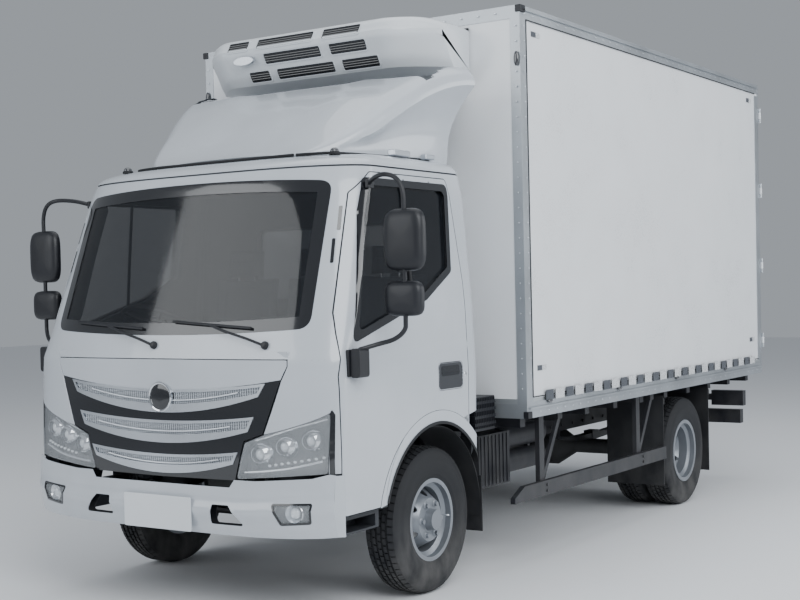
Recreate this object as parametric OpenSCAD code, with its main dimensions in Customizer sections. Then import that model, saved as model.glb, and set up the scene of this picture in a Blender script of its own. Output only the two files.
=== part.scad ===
// Refrigerated box truck with a tilting cab, millimetres.
// +X is the truck's left side, -Y its front, +Z up. The origin is on the ground at mid length.

/* [Overall layout] */
// Front axle to rear axle
wheelbase = 3360; // [3000:10:3900]
// Bumper face to front axle
front_overhang = 1072; // [1060:1:1250]
// Rear axle to the outer edge of the rear door hinges
rear_overhang = 1562; // [1300:1:1900]

/* [Load box] */
// Outside length of the load box, without the door hinges
box_length = 4148; // [3400:1:4250]
// Outside width of the load box
box_width = 2300; // [1900:1:2500]
// Outside height of the load box, floor included
box_height = 2316; // [1800:1:2600]
// Underside of the box floor above the ground
box_floor_z = 866; // [840:1:1000]
// Insulated wall thickness
box_wall = 75; // [40:1:110]
// Insulated floor thickness
box_floor_thickness = 100; // [60:1:140]
// Insulated roof thickness
box_roof_thickness = 90; // [60:1:120]
// Height of the metal edge rails round the box
edge_rail = 72; // [50:1:100]
// Metal skin thickness of the edge rails
edge_thickness = 4; // [2:0.5:6]

/* [Rear doors] */
// Thickness of a rear door leaf
leaf_thickness = 75; // [40:1:90]
// Gap round each leaf
leaf_gap = 6; // [5:0.5:10]
// Width of the posts either side of the rear doors
post_width = 64; // [40:1:90]
// Radius of the rear hinge pins
rear_pin_r = 6; // [4:0.5:7]
// Outer radius of the rear hinge barrels
rear_barrel_r = 9.5; // [9:0.5:11]
// Number of hinges on each rear door
rear_hinges = 4; // [2:1:5]
// Radius of the lock bars
lock_bar_r = 11; // [8:0.5:13]

/* [Wheels] */
// Outer radius of every tyre
tyre_r = 387.5; // [330:0.5:440]
// Section width of every tyre
tyre_width = 195; // [165:1:215]
// Radius of the rim's bead seat
rim_r = 203; // [180:1:220]
// Radius of the rim's flange
rim_flange_r = 222; // [205:1:240]
// Wall thickness of the rims
rim_wall = 7; // [5:0.5:10]
// Outer face of the front tyres to the centre line
front_tyre_outer_x = 975; // [930:1:1000]
// Outer face of the outer rear tyres to the centre line
rear_tyre_outer_x = 1085; // [1040:1:1120]
// Gap between two twin tyres
twin_gap = 36; // [20:1:60]
// Radius of the front spindles
spindle_r = 30; // [22:0.5:36]
// Radius of the rear axle ends
rear_spindle_r = 42; // [34:0.5:50]
// Radial running clearance of shafts and pins
running = 0.05; // [0.02:0.01:0.1]
// Number of wheel studs
wheel_studs = 6; // [5:1:8]

/* [Cab] */
// Half width of the cab at the doors
cab_half_width = 1020; // [960:1:1060]
// Height of the cab roof
cab_top_z = 2305; // [2260:1:2400]
// Rear face of the cab behind the front axle
cab_rear_offset = 445; // [400:1:470]
// Thickness of the cab walls
cab_wall = 45; // [25:1:55]
// Thickness of the cab doors
door_thickness = 50; // [30:1:55]
// Gap round the cab doors and panels
panel_gap = 5; // [5:0.5:8]
// Glass thickness
glass = 6; // [4:0.5:8]
// Clearance between fixed neighbours
seat_gap = 0.3; // [0.2:0.1:0.5]

/* [Chassis] */
// Outside width over the two frame rails
frame_width = 750; // [680:1:850]
// Width of a rail flange
rail_flange = 65; // [50:1:80]
// Steel thickness of the rails
rail_steel = 8; // [6:1:10]
// Underside of the frame rails
rail_bottom_z = 560; // [540:1:580]
// Top of the frame rails
rail_top_z = 750; // [740:1:780]
// Radius of the kingpins
kingpin_r = 15; // [12:0.5:18]
// Kingpin to the centre line
kingpin_x = 705; // [680:1:715]
// Length of the steering arms
steering_arm = 185; // [150:1:200]

/* [Fastening points] */
// Hole to hole across on the front number plate
plate_hole_pitch_x = 168; // [140:1:200]
// Hole to hole up on the front number plate
plate_hole_pitch_z = 112; // [80:1:120]
// Radius of the number plate's holes
plate_hole_r = 3.5; // [2.5:0.5:5]
// Radius of the hole in the front tow eye
tow_eye_r = 16; // [12:0.5:20]
// Radius of the hole through the rear tow jaw
tow_pin_r = 15; // [12:0.5:20]

/* [Hidden] */

$fn = 48;
smooth = 64;
eps = 1;

// Places along the truck
total_length = front_overhang + wheelbase + rear_overhang;
bumper_y = -total_length / 2;
front_axle_y = bumper_y + front_overhang;
rear_axle_y = front_axle_y + wheelbase;
hinge_y = total_length / 2 - rear_barrel_r;
box_rear_y = hinge_y - rear_barrel_r - 0.5;
box_front_y = box_rear_y - box_length;
cab_rear_y = front_axle_y + cab_rear_offset;
axle_z = tyre_r;

// Load box
box_half = box_width / 2;
box_top_z = box_floor_z + box_height;
load_floor_z = box_floor_z + box_floor_thickness;
load_roof_z = box_top_z - box_roof_thickness;
leaf_front_y = box_rear_y - leaf_thickness;
leaf_outer_x = box_half - post_width - leaf_gap;
leaf_low_z = load_floor_z + leaf_gap;
leaf_high_z = load_roof_z - leaf_gap;
hinge_x = box_half + rear_barrel_r + 0.5;
lock_bar_places = [leaf_outer_x * 0.34, leaf_outer_x * 0.74];
hinge_heights = [for (i = [0:rear_hinges - 1])
    leaf_low_z + 150 + i * (leaf_high_z - leaf_low_z - 300) / (rear_hinges - 1)];

// Chassis
rail_x = frame_width / 2;
rail_front_y = bumper_y + 240;
rail_rear_y = box_rear_y - 90;
pivot_y = bumper_y + 277;
pivot_z = 655;
pivot_r = 20;
bearer_z = rail_top_z + 46;
bearers = 10;
bearer_half = box_half - 90;
gearbox_rear_y = front_axle_y + 1099;
shaft_z = 570;
guard_x = 1100;
tow_eye_x = 420;
spring_x = rail_x - rail_flange / 2;
beam_top_z = axle_z + 22;
spring_eye_r = 20;

// Wheels
front_wheel_x = front_tyre_outer_x - tyre_width / 2;
rear_outer_x = rear_tyre_outer_x - tyre_width / 2;
rear_inner_x = rear_outer_x - tyre_width - twin_gap;
drum_x = rear_inner_x - 30;
fist_r = 38;
fist_half = 50;
beam_bottom_z = axle_z - fist_half;
knuckle_out_x = kingpin_x + fist_r + 45;
spindle_end_x = front_wheel_x + 30;

// Cab surface: one outline for each height, from the sill to the roof
cab_low_z = 520;
roof_edge_z = 2225;
screen_low_z = 1400;
hood_z = 1280;
door_low_z = 537;
arch_r = 518;
deflector_front_y = front_axle_y - 475;
deflector_rear_y = cab_rear_y + 80;
door_arch_r = 580;
wheel_centre = [-500, front_axle_y - 470, 1450];
wheel_tilt = -26;

function mix(a, b, t) = a + (b - a) * t;
function unit(t) = min(1, max(0, t));
function mirrored(points) = [for (i = [len(points) - 1:-1:0]) [-points[i][0], points[i][1]]];

// Half width of the cab at a height below the roof edge
function side_x(z) = cab_half_width - lookup(z, [
    [cab_low_z, 10], [1150, 0], [1500, 14], [2100, 66], [roof_edge_z, 92]]);
// Foremost point of the cab at a height below the roof edge
function nose_y(z) = bumper_y + lookup(z, [
    [cab_low_z, 57], [800, 47], [hood_z, 64], [screen_low_z, 96], [2160, 345], [roof_edge_z, 372]]);
// Depth over which the front rounds off into the side
function nose_depth(z) = lookup(z, [
    [cab_low_z, 172], [hood_z, 182], [screen_low_z, 222], [2160, 272], [roof_edge_z, 276]]);

// Outer surface of the cab's front, as a depth for each place across and up
function skin_y(x, z) =
    nose_y(z) + nose_depth(z) * (1 - sqrt(max(0, 1 - pow(abs(x) / side_x(z), 3.5))));

// Share of the way over the roof's rounded edge, 0 at the side and 1 on top
function roof_t(z) = unit((z - roof_edge_z) / (cab_top_z - roof_edge_z));
function roof_in(z) = 1 - sqrt(1 - pow(roof_t(z), 2));

// One horizontal outline of the cab at height z, moved inward by inset
function cab_half(z, inset, steps = 20) =
    let (
        low = min(z, roof_edge_z),
        w = side_x(low) - 170 * roof_in(z) - inset,
        y0 = nose_y(low) + 330 * roof_in(z) + inset,
        d = nose_depth(low),
        back = cab_rear_y - 60 * roof_in(z) - inset,
        c = 60
    )
    concat(
        [for (i = [0:steps]) let (
            a = 90 * i / steps,
            x = w * pow(sin(a), 0.62),
            u = pow(x / w, 3.5))
            [x, y0 + d * (1 - sqrt(max(0, 1 - u)))]],
        [for (i = [0:4]) let (a = 90 * i / 4) [w - c + c * cos(a), back - c + c * sin(a)]]);
function cab_ring(z, inset) = concat(cab_half(z, inset), mirrored(cab_half(z, inset)));

// Heights of the outlines
function cab_levels(inset) = concat(
    [cab_low_z, 800, 1150, hood_z, 1340, screen_low_z, 1500, 1700, 1900, 2100, 2160, roof_edge_z - inset],
    [for (i = [1:6]) roof_edge_z - inset + (cab_top_z - roof_edge_z) * sin(15 * i)]);

// Closed solid through a list of rings that all have the same number of points
module loft(rings) {
    n = len(rings[0]);
    m = len(rings);
    points = [for (ring = rings) for (p = ring) p];
    sides = [for (k = [0:m - 2]) for (i = [0:n - 1])
        [k * n + i, k * n + (i + 1) % n, (k + 1) * n + (i + 1) % n, (k + 1) * n + i]];
    faces = [for (f = sides) for (tri = [[f[0], f[2], f[1]], [f[0], f[3], f[2]]]) tri];
    low_cap = [for (i = [0:n - 1]) i];
    high_cap = [for (i = [n - 1:-1:0]) (m - 1) * n + i];
    polyhedron(points, concat(faces, [low_cap, high_cap]), convexity = 8);
}

module cab_solid(inset = 0, drop = 0) {
    loft([for (z = cab_levels(inset)) [for (p = cab_ring(z + inset, inset)) [p[0], p[1], z - drop]]]);
}

// Everything inside is worked out as one mesh
module one_mesh() {
    resize([0, 0, 0]) union() children();
}

// The cab's skin between two depths below its outer surface
module cab_shell(outer, inner) {
    difference() {
        cab_solid(outer);
        cab_solid(inner, eps);
    }
}

// A side view outline, drawn in Y and Z, cut through one side of the cab
module side_cut(side) {
    x0 = side > 0 ? 500 : -cab_half_width - 100;
    translate([x0, 0, 0]) rotate([90, 0, 90]) linear_extrude(cab_half_width - 400) children();
}

// A front view outline, drawn in X and Z, cut through the cab's front half
module front_cut() {
    translate([0, front_axle_y, 0]) rotate([90, 0, 0]) linear_extrude(front_overhang + 50) children();
}

module rounded(points, r) {
    offset(r = r, $fn = 24) offset(delta = -r) polygon(points);
}

// Arch over the front wheel, open at the rear
module arch_outline(r) {
    flat_z = axle_z + r + 38;
    translate([front_axle_y, axle_z]) circle(r, $fn = 96);
    translate([front_axle_y, 0]) square([1200, flat_z]);
    translate([front_axle_y - r, 0]) square([r, axle_z]);
}

// Door outline in side view, grown by g
module door_outline(g = 0) {
    front = bumper_y + 197;
    difference() {
        offset(delta = g) rounded([
            [front, door_low_z], [front, 1200], [front + 55, 1500], [front + 270, 2085], [front + 400, 2190],
            [cab_rear_y - 190, 2190], [cab_rear_y - 126, 1630], [cab_rear_y - 126, door_low_z]], 22);
        arch_outline(door_arch_r - g);
    }
}

// Window outline in side view, grown by g
module window_outline(g = 0) {
    front = bumper_y + 337;
    offset(delta = g) rounded([
        [front, 1385], [front + 160, 1985], [front + 225, 2136], [cab_rear_y - 220, 2136],
        [cab_rear_y - 262, 1709], [front + 660, 1573]], 26);
}

// Windscreen outline in front view, grown by g
module screen_outline(g = 0) {
    top = 2165;
    offset(delta = g) rounded(concat(
        [for (i = [-6:6]) [850 * i / 6, 1430 - 28 * (1 - pow(i / 6, 2))]],
        [for (i = [6:-1:-6]) [820 * i / 6, top - 18 + 28 * (1 - pow(i / 6, 2))]]), 60);
}

// Front panel and grille outline in front view, grown by g
module panel_outline(g = 0) {
    half = [[0, 690], [468, 695], [525, 888], [634, 925], [733, 1182], [766, 1250], [766, hood_z], [0, hood_z]];
    offset(delta = g) polygon(concat(half, [for (i = [5:-1:1]) [-half[i][0], half[i][1]]]));
}

// Headlamp outline in front view, grown by g
module lamp_outline(side, g = 0) {
    mirror([side < 0 ? 1 : 0, 0]) offset(delta = g)
        rounded([[476, 700], [530, 880], [636, 920], [973, 1031], [958, 742]], 10);
}

// Crescent of the grille: half width, height at the ends, heights of its middle
function crescent(w, end_top, end_low, mid_top, mid_low, n = 8) = concat(
    [for (i = [-n:n]) let (t = i / n) [w * t * 0.94, mix(mid_low, end_low, t * t)]],
    [for (i = [n:-1:-n]) let (t = i / n) [w * t, mix(mid_top, end_top, t * t)]]);
CRESCENTS = [
    crescent(650, 1168, 1105, 1128, 1014),
    crescent(585, 1006, 935, 972, 862),
    crescent(490, 832, 775, 803, 710)
];

module along_x(x0, x1) {
    translate([x0, 0, 0]) rotate([90, 0, 90]) linear_extrude(x1 - x0) children();
}

module box_between(low, high) {
    translate(low) cube(high - low);
}

module on_both_sides() {
    children();
    mirror([1, 0, 0]) children();
}

module one_side(side) {
    mirror([side < 0 ? 1 : 0, 0, 0]) children();
}

// ---------------------------------------------------------------- chassis

// Side view of a frame rail, low at the front where the cab pivots
rail_drop_y = front_axle_y - 495;
rail_rise_y = front_axle_y - 325;
function rail_outline(inset) = [
    [rail_front_y, 510 + inset], [rail_drop_y, 510 + inset], [rail_rise_y, rail_bottom_z + inset],
    [rail_rear_y, rail_bottom_z + inset], [rail_rear_y, rail_top_z - inset],
    [rail_rise_y + 20, rail_top_z - inset], [rail_drop_y + 20, 690 - inset],
    [rail_drop_y - 140, 690 - inset], [rail_drop_y - 200, 610 - inset], [rail_front_y, 610 - inset]
];
CROSSMEMBERS = [front_axle_y - 745, gearbox_rear_y + 26, rear_axle_y - 760, rear_axle_y + 700, rail_rear_y - 60];

module chassis_frame() {
    color("#1b1e24") difference() {
        union() {
            on_both_sides() difference() {
                along_x(rail_x - rail_flange, rail_x) polygon(rail_outline(0));
                along_x(rail_x - rail_flange - eps, rail_x - rail_steel) polygon(rail_outline(rail_steel));
            }
            for (y = CROSSMEMBERS)
                box_between([4 - rail_x, y, y < front_axle_y ? 530 : rail_bottom_z + 65],
                    [rail_x - 4, y + 60, y < front_axle_y ? 595 : rail_top_z - 10]);
            // lugs for the cab's pivot
            on_both_sides() box_between([rail_x - 14, pivot_y - 30, 600], [rail_x, pivot_y + 60, pivot_z]);
            on_both_sides() translate([rail_x - 14, pivot_y, pivot_z]) rotate([0, 90, 0]) cylinder(14, r = 34);
            // eye for towing at the front
            translate([-tow_eye_x, rail_front_y - 28, 525]) cylinder(20, r = 32);
            box_between([-tow_eye_x - 32, rail_front_y - 28, 525], [32 - tow_eye_x, rail_front_y + 30, 545]);
            box_between([-tow_eye_x - 32, rail_front_y, 515], [4 - rail_x, rail_front_y + 30, 567]);
            // jaw for towing at the rear
            for (z = [rail_bottom_z + 70, rail_bottom_z + 140])
                box_between([-45, rail_rear_y - eps, z], [45, rail_rear_y + 85, z + 22]);
        }
        on_both_sides() translate([rail_x - 70, pivot_y, pivot_z]) rotate([0, 90, 0])
            cylinder(80, r = pivot_r + running);
        translate([-tow_eye_x, rail_front_y - 28, 500]) cylinder(60, r = tow_eye_r);
        translate([0, rail_rear_y + 55, rail_bottom_z]) cylinder(200, r = tow_pin_r);
    }
}

module box_bearers() {
    pitch = (box_length - 220) / (bearers - 1);
    color("#16181c") {
        on_both_sides() box_between([rail_x - rail_flange, box_front_y + 60, rail_top_z],
            [rail_x, box_rear_y - 100, bearer_z + eps]);
        for (i = [0:bearers - 1])
            box_between([-bearer_half, box_front_y + 80 + i * pitch, bearer_z],
                [bearer_half, box_front_y + 140 + i * pitch, box_floor_z]);
    }
}

module front_axle() {
    color("#202329") translate([0, front_axle_y, 0]) difference() {
        union() {
            on_both_sides() translate([kingpin_x, 0, axle_z - fist_half]) cylinder(2 * fist_half, r = fist_r);
            box_between([-kingpin_x, -14, beam_bottom_z], [kingpin_x, 14, beam_top_z]);
            for (z = [beam_bottom_z, beam_top_z - 16])
                box_between([fist_r - kingpin_x, -45, z], [kingpin_x - fist_r, 45, z + 16]);
        }
        on_both_sides() translate([kingpin_x, 0, axle_z - 100]) cylinder(200, r = kingpin_r + running);
    }
}

module rear_axle() {
    color("#202329") translate([0, rear_axle_y, axle_z]) {
        rotate([0, 90, 0]) translate([0, 0, -drum_x]) cylinder(2 * drum_x, r = 55);
        rotate([0, 90, 0]) translate([0, 0, -70]) cylinder(140, r = 150);
        on_both_sides() rotate([0, 90, 0]) {
            translate([0, 0, 69]) cylinder(150, r1 = 150, r2 = 56);
            translate([0, 0, drum_x - 100]) cylinder(100, r = 160);
            translate([0, 0, drum_x - eps]) cylinder(rear_outer_x - 60 - drum_x, r = rear_spindle_r);
        }
        rotate([90, 0, 0]) cylinder(230, r1 = 120, r2 = 55);
    }
}

// Outline of a leaf pack in side view, from its seat to its eyes
function leaf_pack(half, seat_z, eye_z, thick, n = 8) = concat(
    [for (i = [-n:n]) let (t = i / n) [half * t, mix(seat_z, eye_z - 12, t * t)]],
    [for (i = [n:-1:-n]) let (t = i / n) [half * t, mix(seat_z, eye_z - 12, t * t) + mix(thick, 16, abs(t))]]);

// One leaf spring with its hangers, whose tops meet the rail
module leaf_spring(y, seat_z, half, eye_z, thick, hanger_tops) {
    translate([spring_x, y, 0]) {
        along_x(-32, 32) polygon(leaf_pack(half, seat_z, eye_z, thick));
        box_between([-36, -55, seat_z], [36, 55, seat_z + thick + 14]);
        for (s = [0, 1]) translate([0, (2 * s - 1) * half, 0]) {
            translate([-32, 0, eye_z]) rotate([0, 90, 0]) cylinder(64, r = spring_eye_r);
            box_between([-28, -26, eye_z], [28, 26, hanger_tops[s]]);
        }
    }
}

module leaf_springs() {
    color("#1a1c20") on_both_sides() {
        leaf_spring(front_axle_y, beam_top_z, 520, 470, 42, [510, rail_bottom_z]);
        leaf_spring(rear_axle_y, axle_z + 55, 620, rail_bottom_z - 42, 52, [rail_bottom_z, rail_bottom_z]);
    }
}

module engine_block() {
    block_rear_y = front_axle_y + 480;
    color("#3a3d42") {
        box_between([-250, front_axle_y - 380, 540], [250, block_rear_y, 880]);
        // mounts in the rails and the gearbox behind
        box_between([rail_steel - rail_x, front_axle_y - 60, 640], [rail_x - rail_steel, front_axle_y, 690]);
        translate([0, block_rear_y - eps, shaft_z]) rotate([-90, 0, 0])
            cylinder(gearbox_rear_y - block_rear_y + eps, r1 = 150, r2 = 70);
    }
}

// From the gearbox's back end down to the rear axle's nose
module drive_shaft() {
    flange = 12;
    start = [0, gearbox_rear_y + seat_gap, shaft_z];
    end = [0, rear_axle_y - 230 - seat_gap, axle_z];
    color("#2a2c30") {
        translate(start) rotate([-90, 0, 0]) cylinder(flange, r = 50);
        translate(end) rotate([90, 0, 0]) cylinder(flange, r = 50);
        bar(start + [0, flange - 2, 0], end - [0, flange - 2, 0], 38);
    }
}

module exhaust() {
    silencer_y = front_axle_y + 900;
    color("#4a4c50") translate([-rail_x - 190, 0, 640]) {
        translate([0, silencer_y, 0]) rotate([-90, 0, 0]) cylinder(620, r = 105);
        translate([0, silencer_y + 619, 0]) rotate([-90, 0, 0]) cylinder(160, r = 32);
        translate([0, silencer_y - 300, 0]) rotate([-90, 0, 0]) cylinder(301, r = 32);
        box_between([0, silencer_y + 280, -20], [190, silencer_y + 330, 20]);
    }
}

module fuel_tank() {
    y0 = front_axle_y + 1850;
    color("#3c4046") {
        translate([-rail_x - 60, y0, 400]) rotate([-90, 0, 0]) linear_extrude(700)
            rounded_rect(-420, -300, 0, 60, 60);
        for (y = [y0 + 100, y0 + 540])
            box_between([-rail_x - 62, y, 600], [-rail_x, y + 50, 650]);
    }
}

module rounded_rect(x0, y0, x1, y1, r) {
    for (x = [x0 + r, x1 - r], y = [y0 + r, y1 - r]) translate([x, y]) circle(r);
    translate([x0 + r, y0]) square([x1 - x0 - 2 * r, y1 - y0]);
    translate([x0, y0 + r]) square([x1 - x0, y1 - y0 - 2 * r]);
}

module battery_box() {
    y0 = front_axle_y + 780;
    color("#17191d") {
        box_between([rail_x + 40, y0, 430], [rail_x + 440, y0 + 380, 740]);
        box_between([rail_x, y0 + 100, 600], [rail_x + 41, y0 + 280, 700]);
        // two air tanks behind it
        for (z = [520, 670]) translate([rail_x + 300, y0 + 460, z]) rotate([-90, 0, 0]) cylinder(560, r = 70);
        for (y = [y0 + 560, y0 + 860]) box_between([rail_x, y, 650], [rail_x + 300, y + 30, 690]);
        for (y = [y0 + 560, y0 + 860]) box_between([rail_x + 285, y, 500], [rail_x + 315, y + 30, 690]);
    }
}

module side_guards() {
    low = 385;
    front = box_front_y + 10;
    rear = rear_axle_y - 465;
    color("#17191d") on_both_sides() {
        along_x(guard_x - 12, guard_x + 18) polygon([
            [front - 120, low], [rear, low], [rear, low + 85], [front, low + 85], [front - 120, low + 30]]);
        for (y = [front + 250, rear - 450]) {
            box_between([bearer_half, y, low + 10], [guard_x - 12, y + 60, box_floor_z]);
            along_x(guard_x - 36, guard_x - 16) polygon([
                [y + 10, low + 50], [y + 260, bearer_z + 20], [y + 300, bearer_z + 20], [y + 50, low + 50]]);
            box_between([bearer_half, y + 250, bearer_z + 10], [guard_x - 12, y + 310, box_floor_z]);
        }
    }
}

module underrun_bar() {
    color("#1b1d21") {
        box_between([-1010, rail_rear_y - 40, 450], [1010, rail_rear_y + 30, 560]);
        on_both_sides() {
            box_between([rail_x + seat_gap, rail_rear_y - 160, 470], [rail_x + 12, rail_rear_y - 20, 740]);
            box_between([rail_x + 11, rail_rear_y - 120, 640], [1050, rail_rear_y - 80, 690]);
            box_between([800, rail_rear_y - 120, 600], [1060, rail_rear_y - 50, 720]);
        }
    }
}

// Rubber flaps and the black liners round the front wheels
module mudguards() {
    liner_r = arch_r - 22;
    flap_y = front_axle_y + liner_r - 6;
    color("#14161a") on_both_sides() {
        translate([0, front_axle_y, axle_z]) rotate([0, 90, 0]) rotate([0, 0, 90])
            translate([0, 0, kingpin_x + 15]) difference() {
                cylinder(cab_half_width - 40 - kingpin_x - 15, r = liner_r, $fn = 96);
                translate([0, 0, -eps]) cylinder(400, r = liner_r - 6, $fn = 96);
                rotate([0, 0, -6]) translate([-600, -700, -eps]) cube([1300, 700, 500]);
                rotate([0, 0, 10]) translate([-700, -700, -eps]) cube([700, 1400, 500]);
            }
        box_between([kingpin_x + 15, flap_y, 250], [cab_half_width - 30, flap_y + 8, 560]);
        box_between([rail_x, flap_y + 4, 640], [kingpin_x + 100, flap_y + 24, 680]);
        box_between([kingpin_x + 60, flap_y + 4, 540], [kingpin_x + 100, flap_y + 24, 680]);
        for (y = [rear_axle_y - 440, rear_axle_y + 450]) {
            box_between([rear_inner_x - 90, y, 190], [rear_tyre_outer_x + 5, y + 8, bearer_z + 20]);
            box_between([rail_x, y + 8, bearer_z - 40], [rear_tyre_outer_x, y + 40, bearer_z]);
        }
    }
}

// Ribbed duct between the cab and the load box
module air_intake() {
    y0 = cab_rear_y + 40;
    y1 = box_front_y - 40;
    color("#17191d") {
        box_between([620, y0, 800], [960, y1, 990]);
        for (z = [830, 870, 910, 950]) box_between([614, y0 - 6, z], [966, y1 + 6, z + 16]);
        box_between([rail_x - 20, y0 + 40, rail_top_z], [760, y1 - 40, 801]);
    }
}

// ---------------------------------------------------------------- load box

module box_floor() {
    inside = box_half - edge_thickness - box_wall - 4;
    color("#aeb4ba") {
        box_between([edge_thickness + seat_gap - box_half, box_front_y, box_floor_z],
            [box_half - edge_thickness - seat_gap, box_rear_y - 20, load_floor_z]);
        // raised deck between the walls
        box_between([-inside, box_front_y + box_wall + 4, load_floor_z - eps], [inside, leaf_front_y - 20, load_floor_z + 8]);
    }
}

module box_roof() {
    color("#e6ebee") box_between([edge_thickness + seat_gap - box_half, box_front_y, load_roof_z],
        [box_half - edge_thickness - seat_gap, box_rear_y - 20, box_top_z - edge_thickness - seat_gap]);
}

module box_front_wall() {
    color("#e6ebee") box_between([edge_thickness + seat_gap - box_half, box_front_y, load_floor_z],
        [box_half - edge_thickness - seat_gap, box_front_y + box_wall, load_roof_z]);
}

module box_wall(side) {
    x = box_half - edge_thickness - seat_gap;
    one_side(side) box_between([x - box_wall, box_front_y + box_wall, load_floor_z],
        [x, leaf_front_y - 12, load_roof_z]);
}
module box_wall_left() { color("#e6ebee") box_wall(1); }
module box_wall_right() { color("#e6ebee") box_wall(-1); }

// Metal edge rails, corner posts and the frame round the rear doors
module box_frame() {
    t = edge_thickness;
    y0 = box_front_y - t;
    color("#9aa1a8") difference() {
        union() {
            on_both_sides() {
                for (z = [box_floor_z - 10, box_top_z - edge_rail])
                    box_between([box_half - t, y0, z], [box_half, box_rear_y, z + edge_rail + (z < 1500 ? 18 : 0)]);
                box_between([box_half - t, y0, box_floor_z], [box_half, y0 + 80, box_top_z]);
                box_between([box_half - 60, y0, box_floor_z - 10], [box_half, y0 + t, box_top_z]);
                box_between([box_half - post_width, leaf_front_y - 12, load_floor_z],
                    [box_half, box_rear_y, load_roof_z]);
                box_between([box_half - 60, y0, box_top_z - t], [box_half, box_rear_y, box_top_z]);
            }
            // sill and header at the back, header at the front
            box_between([-box_half, box_rear_y - 20, box_floor_z - 10], [box_half, box_rear_y, load_floor_z]);
            box_between([-box_half, box_rear_y - 20, load_roof_z], [box_half, box_rear_y, box_top_z]);
            box_between([-box_half, y0, box_top_z - edge_rail], [box_half, y0 + t, box_top_z]);
            box_between([-box_half, y0, box_floor_z - 10], [box_half, y0 + t, box_floor_z + edge_rail]);
            on_both_sides() for (z = hinge_heights) for (s = [-1, 1]) {
                translate([hinge_x, hinge_y, z + s * 42 - 16]) cylinder(32, r = rear_barrel_r);
                box_between([box_half - 50, box_rear_y, z + s * 42 - 16], [hinge_x, box_rear_y + 5, z + s * 42 + 16]);
            }
        }
        on_both_sides() for (z = hinge_heights)
            translate([hinge_x, hinge_y, z - 80]) cylinder(160, r = rear_pin_r + running);
    }
}

module cooling_unit() {
    half = 830;
    low = box_top_z - 340;
    top = box_top_z - 62;
    nose = box_front_y - 498;
    back = box_front_y;
    face_low = nose + 73;
    color("#dfe5e9") difference() {
        intersection() {
            along_x(-half, half) polygon([
                [back, low], [face_low, low], [nose - 50, low + 176], [nose - 30, top - 60],
                [nose + 30, top], [back, top - 20]]);
            translate([0, 0, low - 50]) linear_extrude(500) polygon([
                [-half, back], [half, back], [half, nose + 170], [half - 130, nose - 60],
                [130 - half, nose - 60], [-half, nose + 170]]);
        }
        for (row = [0:2], bay = [0:2])
            box_between([-570 + bay * 400, nose - 90, low + 28 + row * 84], [-230 + bay * 400, nose + 180, low + 70 + row * 84]);
    }
}

// ---------------------------------------------------------------- cab

module cab_floor() {
    inside = cab_half_width - door_thickness - 22;
    back = cab_rear_y - cab_wall - seat_gap;
    step_x = cab_half_width - 60;
    front = bumper_y + 214;
    riser = front_axle_y - arch_r + 4;
    color("#24272c") difference() {
        union() {
            translate([0, 0, 715]) linear_extrude(40) polygon([
                [-inside, front + 130], [90 - inside, front], [inside - 90, front], [inside, front + 130],
                [inside, riser + 30], [-inside, riser + 30]]);
            box_between([-inside, riser, 715], [inside, riser + 30, 1000]);
            translate([0, 0, 960]) linear_extrude(40) polygon([
                [-inside, riser], [inside, riser], [inside, back - 70], [inside - 70, back],
                [70 - inside, back], [-inside, back - 70]]);
            // lugs on the cab's pivot
            on_both_sides() {
                box_between([rail_x - 52, pivot_y - 30, pivot_z], [rail_x - 17, pivot_y + 30, 716]);
                translate([rail_x - 52, pivot_y, pivot_z]) rotate([0, 90, 0]) cylinder(35, r = 30);
                translate([rail_x - 52, pivot_y, pivot_z]) rotate([0, 90, 0]) cylinder(66, r = pivot_r);
                // steps below the doors
                box_between([step_x - 160, front + 5, 430], [step_x, riser + 10, door_low_z - panel_gap]);
                box_between([step_x - 160, front + 5, 500], [step_x - 130, front + 60, 716]);
                box_between([step_x - 160, riser - 20, 500], [step_x - 130, riser + 10, 716]);
            }
        }
        on_both_sides() box_between([step_x - 120, front + 30, 440], [step_x + eps, riser - 20, 500]);
    }
}

module cab_front() {
    wall = bumper_y + 197;
    color("#dfe4e8") one_mesh() difference() {
        union() {
            intersection() {
                cab_shell(0, cab_wall);
                box_between([-838, bumper_y, hood_z + panel_gap], [838, bumper_y + 222, 1450]);
            }
            box_between([-838, wall + seat_gap, 756], [838, wall + 20, hood_z + 40]);
            box_between([-770, nose_y(hood_z) + cab_wall - 6, hood_z + 15], [770, wall + 5, hood_z + 40]);
            // stops behind the front panel
            for (x = [-320, 280]) box_between([x, nose_y(1245) + 38.4, 1215], [x + 40, wall + 5, 1245]);
        }
        front_cut() screen_outline(2 * seat_gap);
    }
}

module cab_side(side) {
    one_side(side) one_mesh() difference() {
        intersection() {
            cab_shell(0, cab_wall);
            box_between([0, bumper_y, cab_low_z + 10], [cab_half_width + 10, cab_rear_y + 10, 2230 - panel_gap]);
        }
        side_cut(1) door_outline(panel_gap);
        side_cut(1) arch_outline(arch_r);
        side_cut(1) translate([bumper_y, 0]) square([197 + 60, 745]);
        front_cut() screen_outline(2 * seat_gap);
        front_cut() panel_outline(panel_gap);
        front_cut() lamp_outline(1, seat_gap);
        front_cut() translate([-838 - seat_gap, 500]) square([2 * (838 + seat_gap), 950 + seat_gap]);
        front_cut() translate([-782, 2100]) square([2 * 782, 200]);
        box_between([-10, cab_rear_y - cab_wall - 20, 0], [cab_half_width - 80, cab_rear_y + 20, 2400]);
    }
}
module cab_side_left() { color("#dfe4e8") cab_side(1); }
module cab_side_right() { color("#dfe4e8") cab_side(-1); }

rear_window = [-480, 1560, 480, 1980];

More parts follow.
